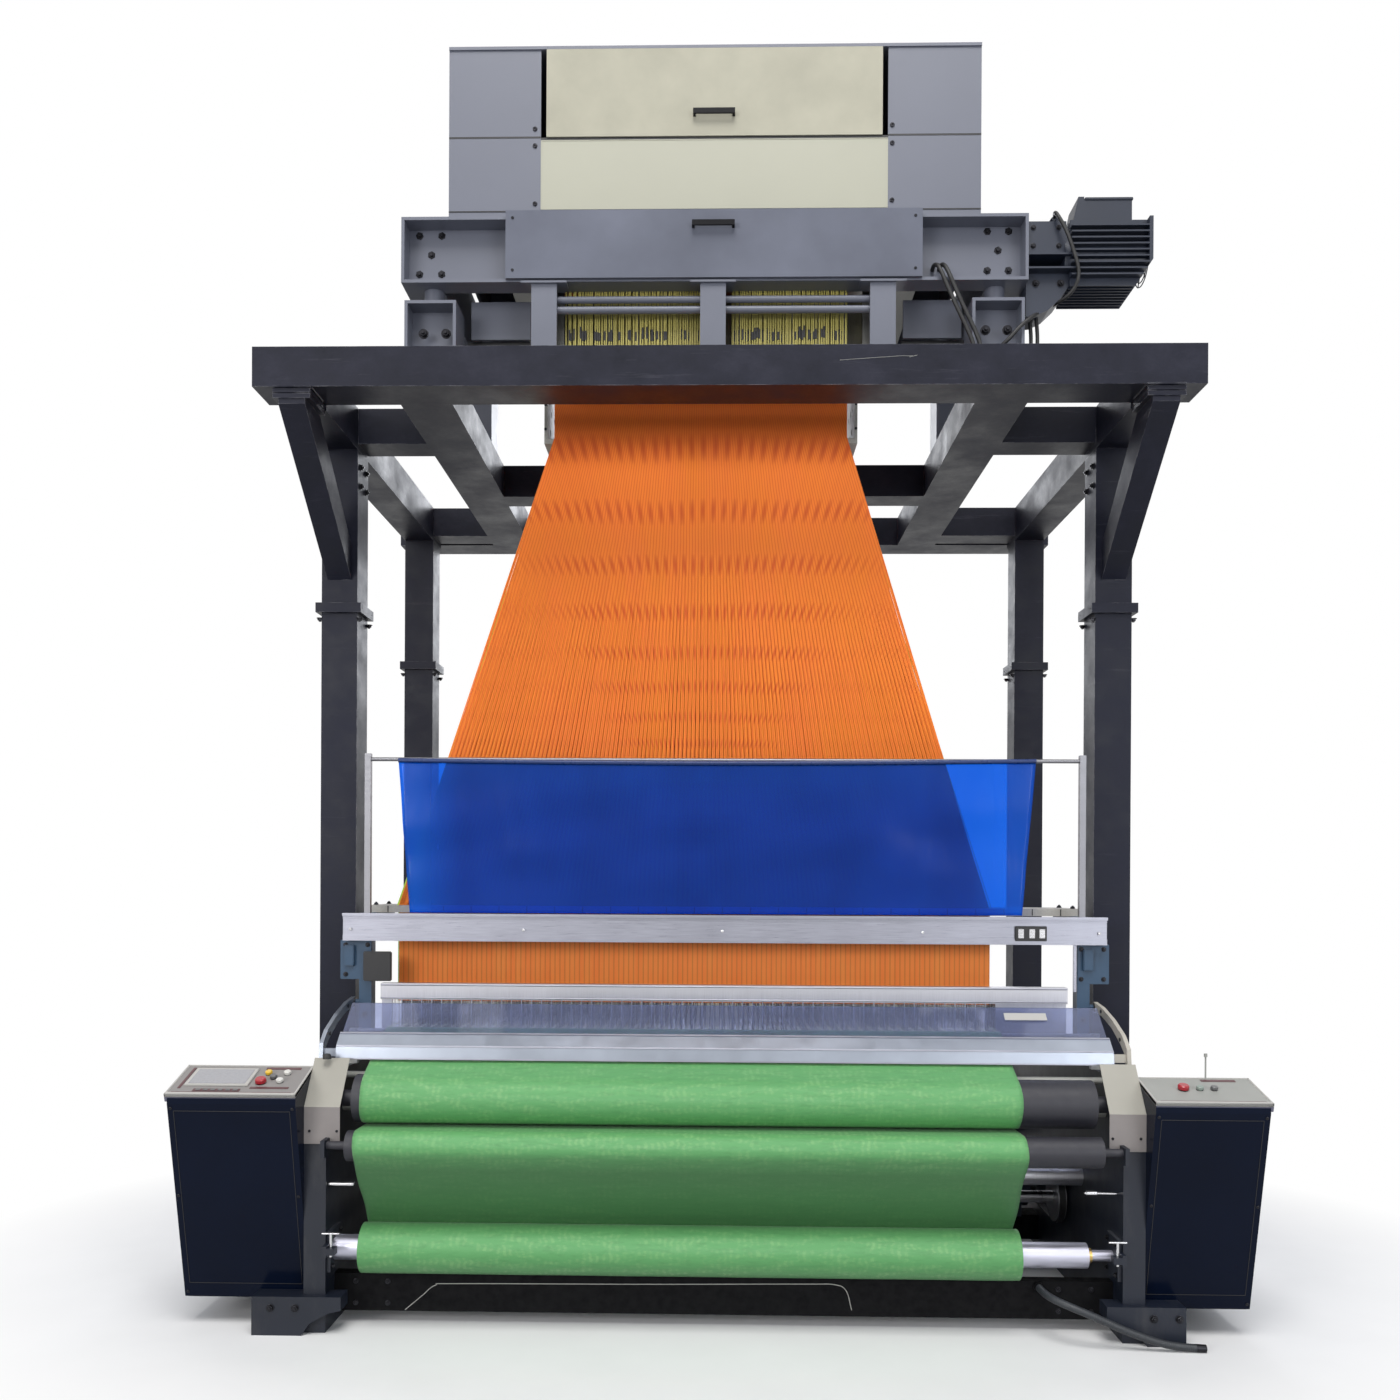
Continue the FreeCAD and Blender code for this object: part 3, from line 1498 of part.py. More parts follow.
# ---------------------------------------------------------------- sley and drive
def build_sley():
    shaft = bar("rocker_shaft", "sley_y", "sley_z", "rocker_r", "10 - frame_outer",
                "frame_outer - 10")
    ys = ("reed_y - sley_beam_depth / 2", "reed_y + sley_beam_depth / 2")
    beam = block(
        "lay_beam",
        ("-sley_half", "sley_half"),
        ys,
        ("reed_low_z - sley_beam_height", "reed_low_z"),
    )
    legs = [
        block(
            f"sley_leg_{i}",
            (f"{i - 1} * leg_spacing - leg_width / 2", f"{i - 1} * leg_spacing + leg_width / 2"),
            ("sley_y - 25", "sley_y + 25"),
            ("sley_z", "reed_low_z - sley_beam_height + 5"),
        )
        for i in range(3)
    ]
    keep("sley_beam", fuse("sley_beam", shaft, beam, *legs))

    lines = dent_lines()
    half_wire = size("wire_width") / 2
    low, cap = size("reed_low_z"), size("reed_cap_z")
    slots = [
        [(a + half_wire, low + 10), (b - half_wire, low + 10),
         (b - half_wire, cap), (a + half_wire, cap)]
        for a, b in zip(lines, lines[1:])
    ]
    half = size("sley_half")
    wires = slotted_plate(
        (-half, half),
        (low, cap + 5),
        size("reed_y") - size("reed_wire_depth") / 2,
        size("reed_wire_depth"),
        slots,
    )
    cap_bar = block(
        "reed_cap",
        ("-sley_half", "sley_half"),
        ("reed_y - reed_cap_depth / 2", "reed_y + reed_cap_depth / 2"),
        ("reed_cap_z", "reed_cap_z + reed_cap_height"),
    )
    keep("reed", fuse("reed", shaped("reed_wires", wires), cap_bar))


def build_drive():
    y, z = "main_shaft_y", "main_shaft_z"
    shaft = bar("drive_shaft", y, z, "main_shaft_r", "10 - frame_outer", "frame_outer - 10")
    wheel = bar("drive_wheel", y, z, "drive_pulley_r", "pulley_x", "pulley_x + pulley_width")
    keep("main_shaft", fuse("main_shaft", shaft, wheel))

    y, z = "motor_y", "motor_z"
    body = bar("motor_body", y, z, "motor_r", "pulley_x - 5 - motor_length", "pulley_x - 5")
    base = block(
        "motor_base",
        ("pulley_x - motor_length + 20", "pulley_x - 40"),
        ("motor_y - 90", "motor_y + 90"),
        ("motor_z - motor_r - 30", "motor_z - 40"),
    )
    box = block(
        "motor_terminals",
        ("pulley_x - 200", "pulley_x - 90"),
        ("motor_y - 50", "motor_y + 50"),
        ("motor_z + motor_r - 15", "motor_z + motor_r + 45"),
    )
    bore = bar("motor_bore", y, z, "motor_shaft_r + running_gap", "pulley_x - 60", "pulley_x")
    keep("main_motor", cut("main_motor", fuse("motor_steel", body, base, box), bore))
    pulley = fuse(
        "motor_pulley",
        bar("motor_shaft", y, z, "motor_shaft_r", "pulley_x - 55", "pulley_x + 5"),
        bar("motor_wheel", y, z, "motor_pulley_r", "pulley_x", "pulley_x + pulley_width"),
    )
    keep("motor_pulley", pulley)

    thick = size("belt_thick")
    grow = size("soft_gap") + thick / 2
    wheels = [
        (size("main_shaft_y"), size("main_shaft_z"), size("drive_pulley_r") + grow, -1),
        (size("motor_y"), size("motor_z"), size("motor_pulley_r") + grow, -1),
    ]
    loop = wheels + wheels
    directions = strap_path(loop[:3])
    left = size("pulley_x") + (size("pulley_width") - size("belt_width")) / 2
    rings = []
    for side in (thick / 2, -thick / 2):
        edges = []
        for i in range(2):
            start = strap_point(loop[i], directions[i], side)
            end = strap_point(loop[i + 1], directions[i], side)
            edges.append(Part.LineSegment(start, end).toShape())
            out = directions[(i + 1) % 2]
            sweep = (directions[i] - out) % (2 * math.pi)
            middle = strap_point(loop[i + 1], directions[i] - sweep / 2, side)
            edges.append(Part.Arc(end, middle, strap_point(loop[i + 1], out, side)).toShape())
        rings.append(Part.Wire(Part.__sortEdges__(edges)))
    outer, inner = sorted(rings, key=lambda ring: -ring.Length)
    face = Part.Face(outer).cut(Part.Face(inner))
    belt = face.extrude(Vector(size("belt_width"), 0, 0))
    belt.translate(Vector(left, 0, 0))
    keep("drive_belt", shaped("drive_belt", belt.Solids[0]))


# ---------------------------------------------------------------- rail, film and hood
def build_rail():
    xs = ("-rail_half", "rail_half")
    body = block("rail_body", xs, ("rail_front_y", "rail_rear_y"), ("rail_low_z", "rail_top_z"))
    groove = block(
        "rail_groove",
        ("-rail_half - 5", "rail_half + 5"),
        ("rail_front_y - 5", "rail_front_y + 4"),
        ("rail_low_z + 22", "rail_low_z + 96"),
    )
    lip = block(
        "rail_lip",
        xs,
        ("rail_front_y - 8", "rail_front_y + 5"),
        ("rail_top_z - 12", "rail_top_z"),
    )
    keep("comber_rail", fuse("comber_rail", cut("rail_profile", body, groove), lip))

    brackets = []
    for side, (low, high) in sides("bracket_inner", "bracket_outer").items():
        sign = dict(MIRROR)[side]
        post = block(
            f"bracket_post_{side}",
            (low, high),
            ("rail_rear_y", "bracket_rear_y"),
            ("frame_top_z", "rail_top_z"),
        )
        shelf = block(
            f"bracket_shelf_{side}",
            (low, high),
            ("bracket_rear_y - 5", "comber_rear_y"),
            ("comber_z - 40", "comber_z"),
        )
        start = "bracket_outer - 5" if sign > 0 else "-arm_inner - arm_thick - 8"
        pin = bar(
            f"hood_pin_{side}",
            "hood_pivot_y",
            "hood_pivot_z",
            "hood_pin_r",
            start,
            f"{start} + arm_inner + arm_thick - bracket_outer + 13",
        )
        brackets.append(fuse(f"rail_bracket_{side}", post, shelf, pin))
    keep("rail_brackets", group("rail_brackets", *brackets))

    y = "rail_front_y + rail_depth / 2"
    frame = [
        bar("film_rod", y, "film_top_z", "film_rod_r", "2 - bracket_inner", "bracket_inner - 2")
    ]
    for side, sign in MIRROR:
        x = f"{sign} * (bracket_inner + 10)"
        frame.append(
            block(
                f"film_post_{side}",
                (f"{x} - film_post / 2", f"{x} + film_post / 2"),
                (f"{y} - film_post / 2", f"{y} + film_post / 2"),
                ("rail_top_z", "film_top_z + 23"),
            )
        )
    keep("film_frame", fuse("film_frame", *frame))
    face_y = f"{y} - film_rod_r"
    keep(
        "film",
        block(
            "film",
            ("film_left", "film_right"),
            (f"{face_y} - film_thick", face_y),
            ("rail_top_z + 0.5", "film_top_z + film_rod_r"),
        ),
    )


HOOD_RAIL = [(-951, 1069), (-1001, 1026), (-1010, 976), (-996, 976), (-986, 1016), (-942, 1056)]
HOOD_ARM = [
    (-582, 1164), (-600, 1172), (-700, 1160), (-830, 1126), (-952, 1079), (-1006, 1036),
    (-1016, 969.5), (-990, 969.5), (-976, 1016), (-930, 1046), (-825, 1094), (-700, 1127),
    (-600, 1128), (-582, 1136),
]


def build_hood():
    rail = profile(
        "hood_extrusion",
        "yz",
        [(str(y), str(z)) for y, z in HOOD_RAIL],
        "-hood_half",
        "2 * hood_half",
    )
    arms = []
    for side, (low, high) in sides("arm_inner", "arm_inner + arm_thick").items():
        arm = profile(
            f"hood_arm_{side}",
            "yz",
            [(str(y), str(z)) for y, z in HOOD_ARM],
            low,
            "arm_thick",
            [("hood_pivot_y", "hood_pivot_z", "hood_pin_r + running_gap")],
        )
        near, far = sides("hood_half - 5", "arm_inner + 5")[side]
        link = block(
            f"hood_link_{side}", (near, far), ("-1000", "-985"), ("985", "1015")
        )
        arms += [arm, link]
    keep("hood_rail", fuse("hood_rail", rail, *arms))
    (low_y, low_z), (top_y, top_z) = (-951, 1069), (-830, 1170)
    slope = math.atan2(top_z - low_z, top_y - low_y)
    thick = size("glass_thick")
    inward = yz_point(thick * math.sin(slope), -thick * math.cos(slope))
    corners = [yz_point(low_y, low_z), yz_point(top_y, top_z)]
    corners = [corners[0], corners[1], corners[1] + inward, corners[0] + inward]
    glass = Part.Face(Part.makePolygon(corners + corners[:1]))
    glass = glass.extrude(Vector(2 * size("glass_half"), 0, 0))
    glass.translate(Vector(-size("glass_half"), 0, 0))
    keep("hood_glass", shaped("hood_glass", glass))


# ---------------------------------------------------------------- control cabinets
BUTTONS = {
    "left": [
        ("stop_button_left", 153, 0.40),
        ("yellow_button", 146, 0.70),
        ("white_button", 86, 0.43),
        ("clear_button", 77, 0.70),
        ("black_button", 118, 0.56),
    ],
    "right": [
        ("stop_button_right", 134, 0.52),
        ("start_button", 193, 0.52),
        ("jog_button", 244, 0.52),
    ],
}


def console_corners(side):
    """Front and rear edge of the sloping console top of one cabinet."""
    nose = yz_point(size("nose_y"), size(f"{side}_nose_z"))
    rear = yz_point(size("console_rear_y"), size(f"{side}_rear_z"))
    return nose, rear


def console_normal(side):
    nose, rear = console_corners(side)
    along = (rear - nose).normalize()
    return yz_point(-along.z, along.y)


def button_seat(side, x, share):
    """Point on the console plate's surface where a button's stem enters."""
    nose, rear = console_corners(side)
    surface = nose + (rear - nose) * share + console_normal(side) * size("console_thick")
    sign = -1 if side == "left" else 1
    return Vector(sign * (size("frame_outer") + x), surface.y, surface.z)


def build_cabinet(side):
    if side == "left":
        span = ("cabinet_left_x", "-frame_outer")
        lip = ("cabinet_left_x - console_lip", "-frame_outer")
    else:
        span = ("frame_outer", "cabinet_right_x")
        lip = ("frame_outer", "cabinet_right_x + console_lip")
    nose_z, rear_z = f"{side}_nose_z", f"{side}_rear_z"
    body = profile(
        f"cabinet_{side}_body",
        "yz",
        [
            ("cabinet_foot_y", "cabinet_low_z"),
            ("nose_y", f"{nose_z} - 24"),
            ("nose_y", nose_z),
            ("console_rear_y", rear_z),
            ("console_rear_y", "cabinet_shelf_z"),
            ("cabinet_rear_y", "cabinet_shelf_z"),
            ("cabinet_rear_y", "cabinet_low_z"),
        ],
        span[0],
        f"({span[1]}) - ({span[0]})",
    )
    nose, rear = console_corners(side)
    up = console_normal(side) * size("console_thick")
    corners = [nose, rear, rear + up, nose + up]
    low_x = size("cabinet_left_x") - size("console_lip") if side == "left" else size("frame_outer")
    high_x = -size("frame_outer") if side == "left" else size("cabinet_right_x") + size("console_lip")
    top = Part.Face(Part.makePolygon(corners + corners[:1])).extrude(Vector(high_x - low_x, 0, 0))
    top.translate(Vector(low_x, 0, 0))
    plinth = block(
        f"plinth_{side}",
        (f"{span[0]} + 25", f"{span[1]} - 25"),
        ("plinth_front_y", "cabinet_rear_y - 20"),
        ("0", "cabinet_low_z"),
    )
    members = [body, shaped(f"console_{side}", top), plinth]
    if side == "right":
        members.append(
            rod("marker_rod", "z", ("frame_outer + 251", "console_rear_y - 8", f"{rear_z} - 10"), "108", "3")
        )
        members.append(
            rod("marker_cap", "z", ("frame_outer + 251", "console_rear_y - 8", f"{rear_z} + 90"), "12", "6")
        )
    normal = console_normal(side)
    bores = []
    for name, x, share in BUTTONS[side]:
        seat = button_seat(side, x, share)
        deep = size("button_bore_depth")
        bores.append(
            shaped(
                name + "_bore",
                Part.makeCylinder(
                    size("button_stem_r") + size("running_gap"),
                    deep + 10,
                    seat - normal * deep,
                    normal,
                ),
            )
        )
    keep(f"cabinet_{side}", cut(f"cabinet_{side}", fuse(f"cabinet_{side}_steel", *members), *bores))


def build_button(side, name, x, share):
    """A plunger with a round head that stands above the console."""
    normal = console_normal(side)
    seat = button_seat(side, x, share)
    kind = "stop_head" if name.startswith("stop") else "button_head"
    stem = Part.makeCylinder(
        size("button_stem_r"),
        size("button_stem_length") + size("button_gap") + 1,
        seat - normal * size("button_stem_length"),
        normal,
    )
    base = seat + normal * size("button_gap")
    radius, height = size(kind + "_r"), size(kind + "_height")
    head = Part.makeCylinder(radius, height, base, normal)
    rim = [edge for edge in head.Edges if (edge.CenterOfMass - base).dot(normal) > height - 0.01]
    head = head.makeChamfer(0.25 * height, rim)
    keep(name, shaped(name, stem.fuse(head).removeSplitter()))


def build_cabinets():
    for side, buttons in BUTTONS.items():
        build_cabinet(side)
        for name, x, share in buttons:
            build_button(side, name, x, share)


# ---------------------------------------------------------------- hose on the floor
HOSE_ROUTE = [
    (1166, -1056, 166),
    (1166, -1119, 166),
    (1192, -1172, 160),
    (1238, -1207, 148),
    (1296, -1221, 128),
    (1355, -1222, 102),
    (1415, -1222, 76),
    (1478, -1222, 52),
    (1542, -1222, 31),
    (1607, -1222, 18),
    (1673, -1222, 14.5),
]


def build_hose():
    points = [Vector(*point) for point in HOSE_ROUTE]
    keep("hose", shaped("hose", rounded_pipe(points, size("hose_r"), "hose")))
    end = points[-1]
    along = (points[-1] - points[-2]).normalize()
    sleeve = Part.makeCylinder(size("hose_r"), 34, end, along)
    keep("hose_coupling", shaped("hose_coupling", sleeve))


build_gantry()
build_jacquard_frame()
build_housing()
build_hooks()
build_jacquard_drive()
build_harness()
build_warp_sheet()
build_cloth()
build_rollers()
build_warp_beam()
build_side_frames()
build_cross_members()
build_front_details()
build_sley()
build_drive()
build_rail()
build_hood()
build_cabinets()
build_hose()
doc.recompute()

# ---------------------------------------------------------------- checks and files
for thing in doc.Objects:
    if "Invalid" in thing.State or "Error" in thing.State:
        raise RuntimeError(f"{thing.Name} failed: {thing.State}")
os.makedirs("parts", exist_ok=True)
for name, thing in parts.items():
    shape = thing.Shape
    if shape.isNull() or not shape.isValid() or not shape.Solids:
        raise RuntimeError(f"{name} has no valid shape")
    shape.exportStep(f"parts/{name}.step")
print(len(parts), "pieces")
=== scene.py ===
import bpy
import bmesh
import random
from math import asin, atan2, cos, dist, e, hypot, pi, radians, sin, tau
from mathutils import Matrix, Vector


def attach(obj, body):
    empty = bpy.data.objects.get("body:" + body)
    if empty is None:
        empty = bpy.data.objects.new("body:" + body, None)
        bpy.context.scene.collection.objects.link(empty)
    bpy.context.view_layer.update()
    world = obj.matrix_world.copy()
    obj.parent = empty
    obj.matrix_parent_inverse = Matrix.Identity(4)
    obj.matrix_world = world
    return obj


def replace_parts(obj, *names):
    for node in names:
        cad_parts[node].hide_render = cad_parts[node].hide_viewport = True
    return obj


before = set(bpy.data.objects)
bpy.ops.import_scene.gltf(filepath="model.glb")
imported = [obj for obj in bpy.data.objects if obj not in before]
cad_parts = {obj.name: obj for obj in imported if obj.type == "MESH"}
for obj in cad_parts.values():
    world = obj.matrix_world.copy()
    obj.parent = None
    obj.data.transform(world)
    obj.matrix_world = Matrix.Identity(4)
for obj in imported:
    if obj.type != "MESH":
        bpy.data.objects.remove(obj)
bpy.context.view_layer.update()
scene = bpy.context.scene
chance = random.Random(7)


# --- camera
PICTURE, FOCAL, CENTRE = 1400, 1230, (689.3, 883)  # in the photograph's pixels
EYE = (-0.028, -5.591, 1.65)
YAW, PITCH, ROLL = (radians(a) for a in (1.228, -0.083, -0.302))


def place_camera():
    """The photographer stands 5.6 m in front of the loom's middle, at eye height."""
    right = Vector((cos(YAW), sin(YAW), 0))
    ahead = Vector((-sin(YAW), cos(YAW), 0))
    up = Vector((0, 0, 1))
    look = ahead * cos(PITCH) + up * sin(PITCH)
    top = up * cos(PITCH) - ahead * sin(PITCH)
    side = right * cos(ROLL) - top * sin(ROLL)
    crown = right * sin(ROLL) + top * cos(ROLL)
    data = bpy.data.cameras.new("camera")
    data.sensor_width = 36
    data.lens = 36 * FOCAL / PICTURE
    data.shift_x = (PICTURE / 2 - CENTRE[0]) / PICTURE
    data.shift_y = (CENTRE[1] - PICTURE / 2) / PICTURE
    data.clip_end = 200
    camera = bpy.data.objects.new("camera", data)
    scene.collection.objects.link(camera)
    place = Matrix((side, crown, -look)).transposed().to_4x4()
    place.translation = EYE
    camera.matrix_world = place
    scene.camera = camera


place_camera()


# --- materials
class Tree:
    """A node tree that grows node by node."""

    def __init__(self, tree):
        self.nodes, self.links = tree.nodes, tree.links

    def put(self, node, socket, value):
        if isinstance(value, bpy.types.NodeSocket):
            self.links.new(value, node.inputs[socket])
        else:
            node.inputs[socket].default_value = value

    def add(self, kind, inputs=(), **settings):
        node = self.nodes.new("ShaderNode" + kind)
        for key, value in settings.items():
            setattr(node, key, value)
        for socket, value in dict(inputs).items():
            self.put(node, socket, value)
        return node

    def math(self, operation, a, b=0):
        return self.add("Math", {0: a, 1: b}, operation=operation).outputs[0]

    def times(self, a, b):
        return self.math("MULTIPLY", a, b)

    def plus(self, a, b):
        return self.math("ADD", a, b)

    def less(self, a, b):
        return self.math("SUBTRACT", a, b)

    def seen(self):
        """1 for the rays that show the room: camera, transmission and glossy."""
        path = self.add("LightPath").outputs
        share = path["Is Camera Ray"]
        for kind in ("Is Transmission Ray", "Is Glossy Ray"):
            share = self.math("MAXIMUM", share, path[kind])
        return share

    def surface(self, share, first, second):
        """Mix two shaders into the tree's output."""
        blend = self.add("MixShader", {0: share, 1: first.outputs[0], 2: second.outputs[0]})
        output = next(node for node in self.nodes if "Surface" in node.inputs)
        self.links.new(blend.outputs[0], output.inputs["Surface"])


class Finish(Tree):
    """A surface: a shader with its own numbers, and textures in object space."""

    def __init__(self, name, rough, metal=0.0, **sockets):
        self.material = bpy.data.materials.new(name)
        self.material.use_nodes = True
        super().__init__(self.material.node_tree)
        self.shader = self.nodes["Principled BSDF"]
        for socket, value in {"Roughness": rough, "Metallic": metal, **sockets}.items():
            self.put(self.shader, socket.replace("_", " "), value)
        self.place = self.add("TexCoord").outputs["Object"]

    def along(self, axis):
        return self.add("SeparateXYZ", {"Vector": self.place}).outputs[axis]

    def texture(self, kind, stretch, fields, **settings):
        fit = self.add("Mapping", {"Vector": self.place, "Scale": stretch}).outputs["Vector"]
        return self.add("Tex" + kind, {"Vector": fit, **fields}, **settings).outputs["Fac"]

    def noise(self, scale, detail=4.0, stretch=(1, 1, 1), rough=0.55):
        return self.texture("Noise", stretch, {"Scale": scale, "Detail": detail, "Roughness": rough})

    def waves(self, scale, axis="X", distort=0.0, stretch=(1, 1, 1)):
        return self.texture("Wave", stretch, {"Scale": scale, "Distortion": distort}, bands_direction=axis)

    def spread(self, value, low, high, start=0.0, end=1.0):
        fields = {"Value": value, "From Min": start, "From Max": end, "To Min": low, "To Max": high}
        return self.add("MapRange", fields).outputs["Result"]

    def ramp(self, value, *stops):
        node = self.add("ValToRGB", {"Fac": value})
        marks = node.color_ramp.elements
        while len(marks) < len(stops):
            marks.new(0.5)
        for mark, (where, colour) in zip(marks, stops):
            mark.position = where
            mark.color = (*colour, 1)
        return node.outputs["Color"]

    def tints(self, value, colour, low, high):
        """A colour that varies between two shares of itself."""
        return self.ramp(value, (0.3, shade(colour, low)), (0.7, shade(colour, high)))

    def mix(self, share, a, b):
        node = self.add("Mix", data_type="RGBA")
        for socket, value in ((0, share), (6, a), (7, b)):
            self.put(node, socket, (*value, 1) if isinstance(value, tuple) else value)
        return node.outputs[2]

    def colour(self, value):
        self.put(self.shader, "Base Color", value)

    def rough(self, value, low, high, start=0.3, end=0.7):
        self.put(self.shader, "Roughness", self.spread(value, low, high, start, end))

    def bump(self, height, depth, strength):
        fields = {"Height": height, "Distance": depth, "Strength": strength}
        self.put(self.shader, "Normal", self.add("Bump", fields).outputs["Normal"])
        return self.material

    def edges(self, width):
        """High where the surface turns sharply, for rubbed edges."""
        soft = self.add("Bevel", {"Radius": width}, samples=4).outputs["Normal"]
        flat = self.add("NewGeometry").outputs["Normal"]
        along = self.add("VectorMath", {0: soft, 1: flat}, operation="DOT_PRODUCT").outputs["Value"]
        return self.spread(along, 1.0, 0.0, 0.75, 0.98)


def shade(colour, factor):
    return tuple(min(1.0, c * factor) for c in colour)


def paint(name, colour, rough=0.4, patch=0.12, orange_peel=0.25, dust=0.0):
    """Sprayed paint with slight cloudiness, orange peel and dust."""
    look = Finish(name, rough)
    base = look.tints(look.noise(1.7, 6), colour, 1 - patch, 1 + patch)
    if dust:
        grime = look.noise(9, 8, (1, 1, 0.35), 0.7)
        base = look.mix(look.spread(grime, 0, dust, 0.5, 0.75), base, (0.22, 0.21, 0.2))
    look.colour(base)
    look.rough(look.noise(14, 5), rough * 0.93, min(1, rough * 1.08))
    return look.bump(look.noise(420, 2), 0.0004, orange_peel)


def metal(name, colour, rough=0.3, brush=(1, 1, 60), dull=0.12):
    """Ground or drawn metal with fine lines across the given direction."""
    look = Finish(name, rough, 1.0)
    lines = look.noise(9, 6, brush, 0.6)
    base = look.tints(lines, colour, 1 - dull, 1 + dull)
    look.colour(look.mix(look.spread(look.noise(3, 5), 0, 0.35, 0.45, 0.8), base, shade(colour, 0.6)))
    look.rough(lines, rough * 0.75, rough * 1.3)
    return look.bump(lines, 0.00008, 0.2)


def plastic(name, colour, rough=0.3, **sockets):
    look = Finish(name, rough, **sockets)
    look.colour(look.tints(look.noise(160, 3), colour, 0.92, 1.08))
    look.rough(look.noise(40, 4), rough * 0.8, rough * 1.2)
    return look.bump(look.noise(900, 2), 0.00015, 0.2)


def mill_steel():
    """Thin dark paint over rolled steel: mottled scale, streaks and rubbed flange edges."""
    look = Finish("mill_steel", 0.4, 0.0, Specular_IOR_Level=0.22)
    scale = look.noise(4.5, 9, (1, 1, 1.4), 0.72)
    base = look.ramp(scale, (0.3, (0.005, 0.006, 0.013)), (0.52, (0.01, 0.011, 0.022)),
                     (0.76, (0.024, 0.025, 0.04)))
    streak = look.noise(16, 6, (0.16, 0.16, 2.0), 0.7)
    base = look.mix(look.spread(streak, 0, 0.4, 0.6, 0.8), base, (0.1, 0.1, 0.125))
    high = look.spread(look.math("DIVIDE", look.along("Z"), 4.0), 0.62, 1.15, 0.6, 1.0)
    base = look.mix(high, (0.005, 0.007, 0.02), base)
    rub = look.times(look.edges(0.004), look.spread(look.noise(18, 6), 0, 1, 0.42, 0.62))
    base = look.mix(rub, base, (0.24, 0.24, 0.26))
    look.colour(base)
    look.rough(scale, 0.34, 0.6)
    return look.bump(look.noise(60, 8, rough=0.7), 0.0008, 0.4)


def woven(name, ground, figure):
    """Satin cloth: fine threads, a small damask that shows in long bright runs, and painted shade on the span
    between the guide roller and the cloth roll.
    """
    look = Finish(name, 0.42, Sheen_Weight=0.1, Anisotropic=0.3)
    stem = look.waves(26, "X", 5.0, (0.5, 1.6, 1.6))
    spot = look.noise(24, 5, (0.55, 1.7, 1.7), 0.62)
    long = look.noise(5.5, 4, (0.22, 1.8, 1.8), 0.6)
    motif = look.times(look.spread(stem, 0.35, 1, 0.35, 0.8), look.spread(spot, 0, 1, 0.46, 0.62))
    motif = look.times(motif, look.spread(long, 0.4, 1, 0.35, 0.65))
    thread = look.waves(420, "X")
    base = look.mix(look.spread(motif, 0, 0.45), ground, figure)
    base = look.mix(look.spread(look.noise(55, 4, (0.4, 1.5, 1.5)), 0, 0.4, 0.5, 0.72), base, shade(ground, 0.62))
    base = look.mix(look.spread(thread, 0, 0.16), base, shade(ground, 0.55))
    height = look.along("Z")
    # painted shade: the cloth between the guide roller and the cloth roll, about 0.345 to 0.68 m high, is darkened
    # toward a deep green
    painted_span_shade = look.times(look.spread(height, 0, 1, 0.345, 0.4), look.spread(height, 1, 0, 0.6, 0.68))
    base = look.mix(look.times(painted_span_shade, 0.75), base, shade(ground, 0.4))
    look.colour(look.mix(look.spread(long, 0, 0.25, 0.4, 0.75), base, shade(ground, 0.78)))
    look.rough(motif, 0.45, 0.28, 0, 1)
    crease = look.noise(2.6, 3, (0.4, 1.5, 1.5))
    pucker = look.noise(90, 3, (0.6, 1.4, 1.4))
    relief = look.plus(look.times(thread, 0.1), look.times(pucker, 0.3))
    return look.bump(look.plus(relief, look.times(crease, 0.7)), 0.0022, 0.6)


def yarn(name, colour, other, scale=90.0, axis="X", rough=0.7, gap_shade_pitch=0.0):
    """Parallel threads in two tints, with twist across them, and stripes of painted shade between bundles when a
    pitch is given.
    """
    look = Finish(name, rough, Sheen_Weight=0.2)
    tint = look.noise(38, 4, (1, 0.05, 0.05))
    twist = look.waves(scale, axis)
    base = look.ramp(tint, (0.35, colour), (0.65, other))
    base = look.mix(look.spread(twist, 0, 0.15 if gap_shade_pitch else 0.3), base, shade(colour, 0.5))
    if gap_shade_pitch:
        # painted shade: darker stripes at the bundle pitch, between the cord bundles
        bundle_gap_shade = look.math("COSINE", look.times(look.along("X"), tau / gap_shade_pitch))
        base = look.mix(look.spread(bundle_gap_shade, 0, 0.55, 0.5, 0.95), base, shade(colour, 0.55))
    look.colour(base)
    look.rough(tint, rough * 0.85, rough * 1.1)
    return look.bump(twist, 0.0004, 0.4)


def clear(name, colour, rough, weight):
    look = Finish(name, rough, IOR=1.45, Transmission_Weight=weight)
    haze = look.noise(3.5, 6, (1, 1, 1.5), 0.6)
    look.colour(look.tints(haze, colour, 0.85, 1.1))
    look.rough(haze, rough * 0.6, rough * 1.5)
    return look.bump(look.noise(1.6, 3), 0.004, 0.15)


def film_blue():
    """Soft blue film: deep where something stands behind it, bright where light comes through, with painted light
    brightening its sides.
    """
    look = Finish("blue_film", 0.22, IOR=1.4, Coat_Weight=0.2)
    fold = look.noise(1.1, 5, (2.2, 1, 0.7), 0.55)
    fine = look.noise(5, 5, (2.4, 1, 0.6), 0.6)
    base = look.ramp(fold, (0.3, (0.014, 0.085, 0.5)), (0.7, (0.022, 0.125, 0.7)))
    # painted light: toward the film's sides the colour turns a brighter blue, as if lit through from behind; the
    # same mask makes the sides a little less see-through
    side = look.math("ABSOLUTE", look.plus(look.along("X"), 0.03))
    edge = look.spread(side, 0, 1, 1.02, 1.2)
    base = look.mix(look.spread(fine, 0, 0.25, 0.5, 0.75), base, (0.03, 0.17, 0.75))
    look.colour(look.mix(edge, base, (0.003, 0.165, 0.8)))
    look.rough(fine, 0.14, 0.3)
    look.bump(look.plus(fold, look.times(fine, 0.25)), 0.012, 0.4)
    through = look.add("BsdfTransparent", {"Color": (0.02, 0.4, 0.95, 1)})
    look.surface(look.spread(edge, 0.72, 0.62), look.shader, through)
    return look.material


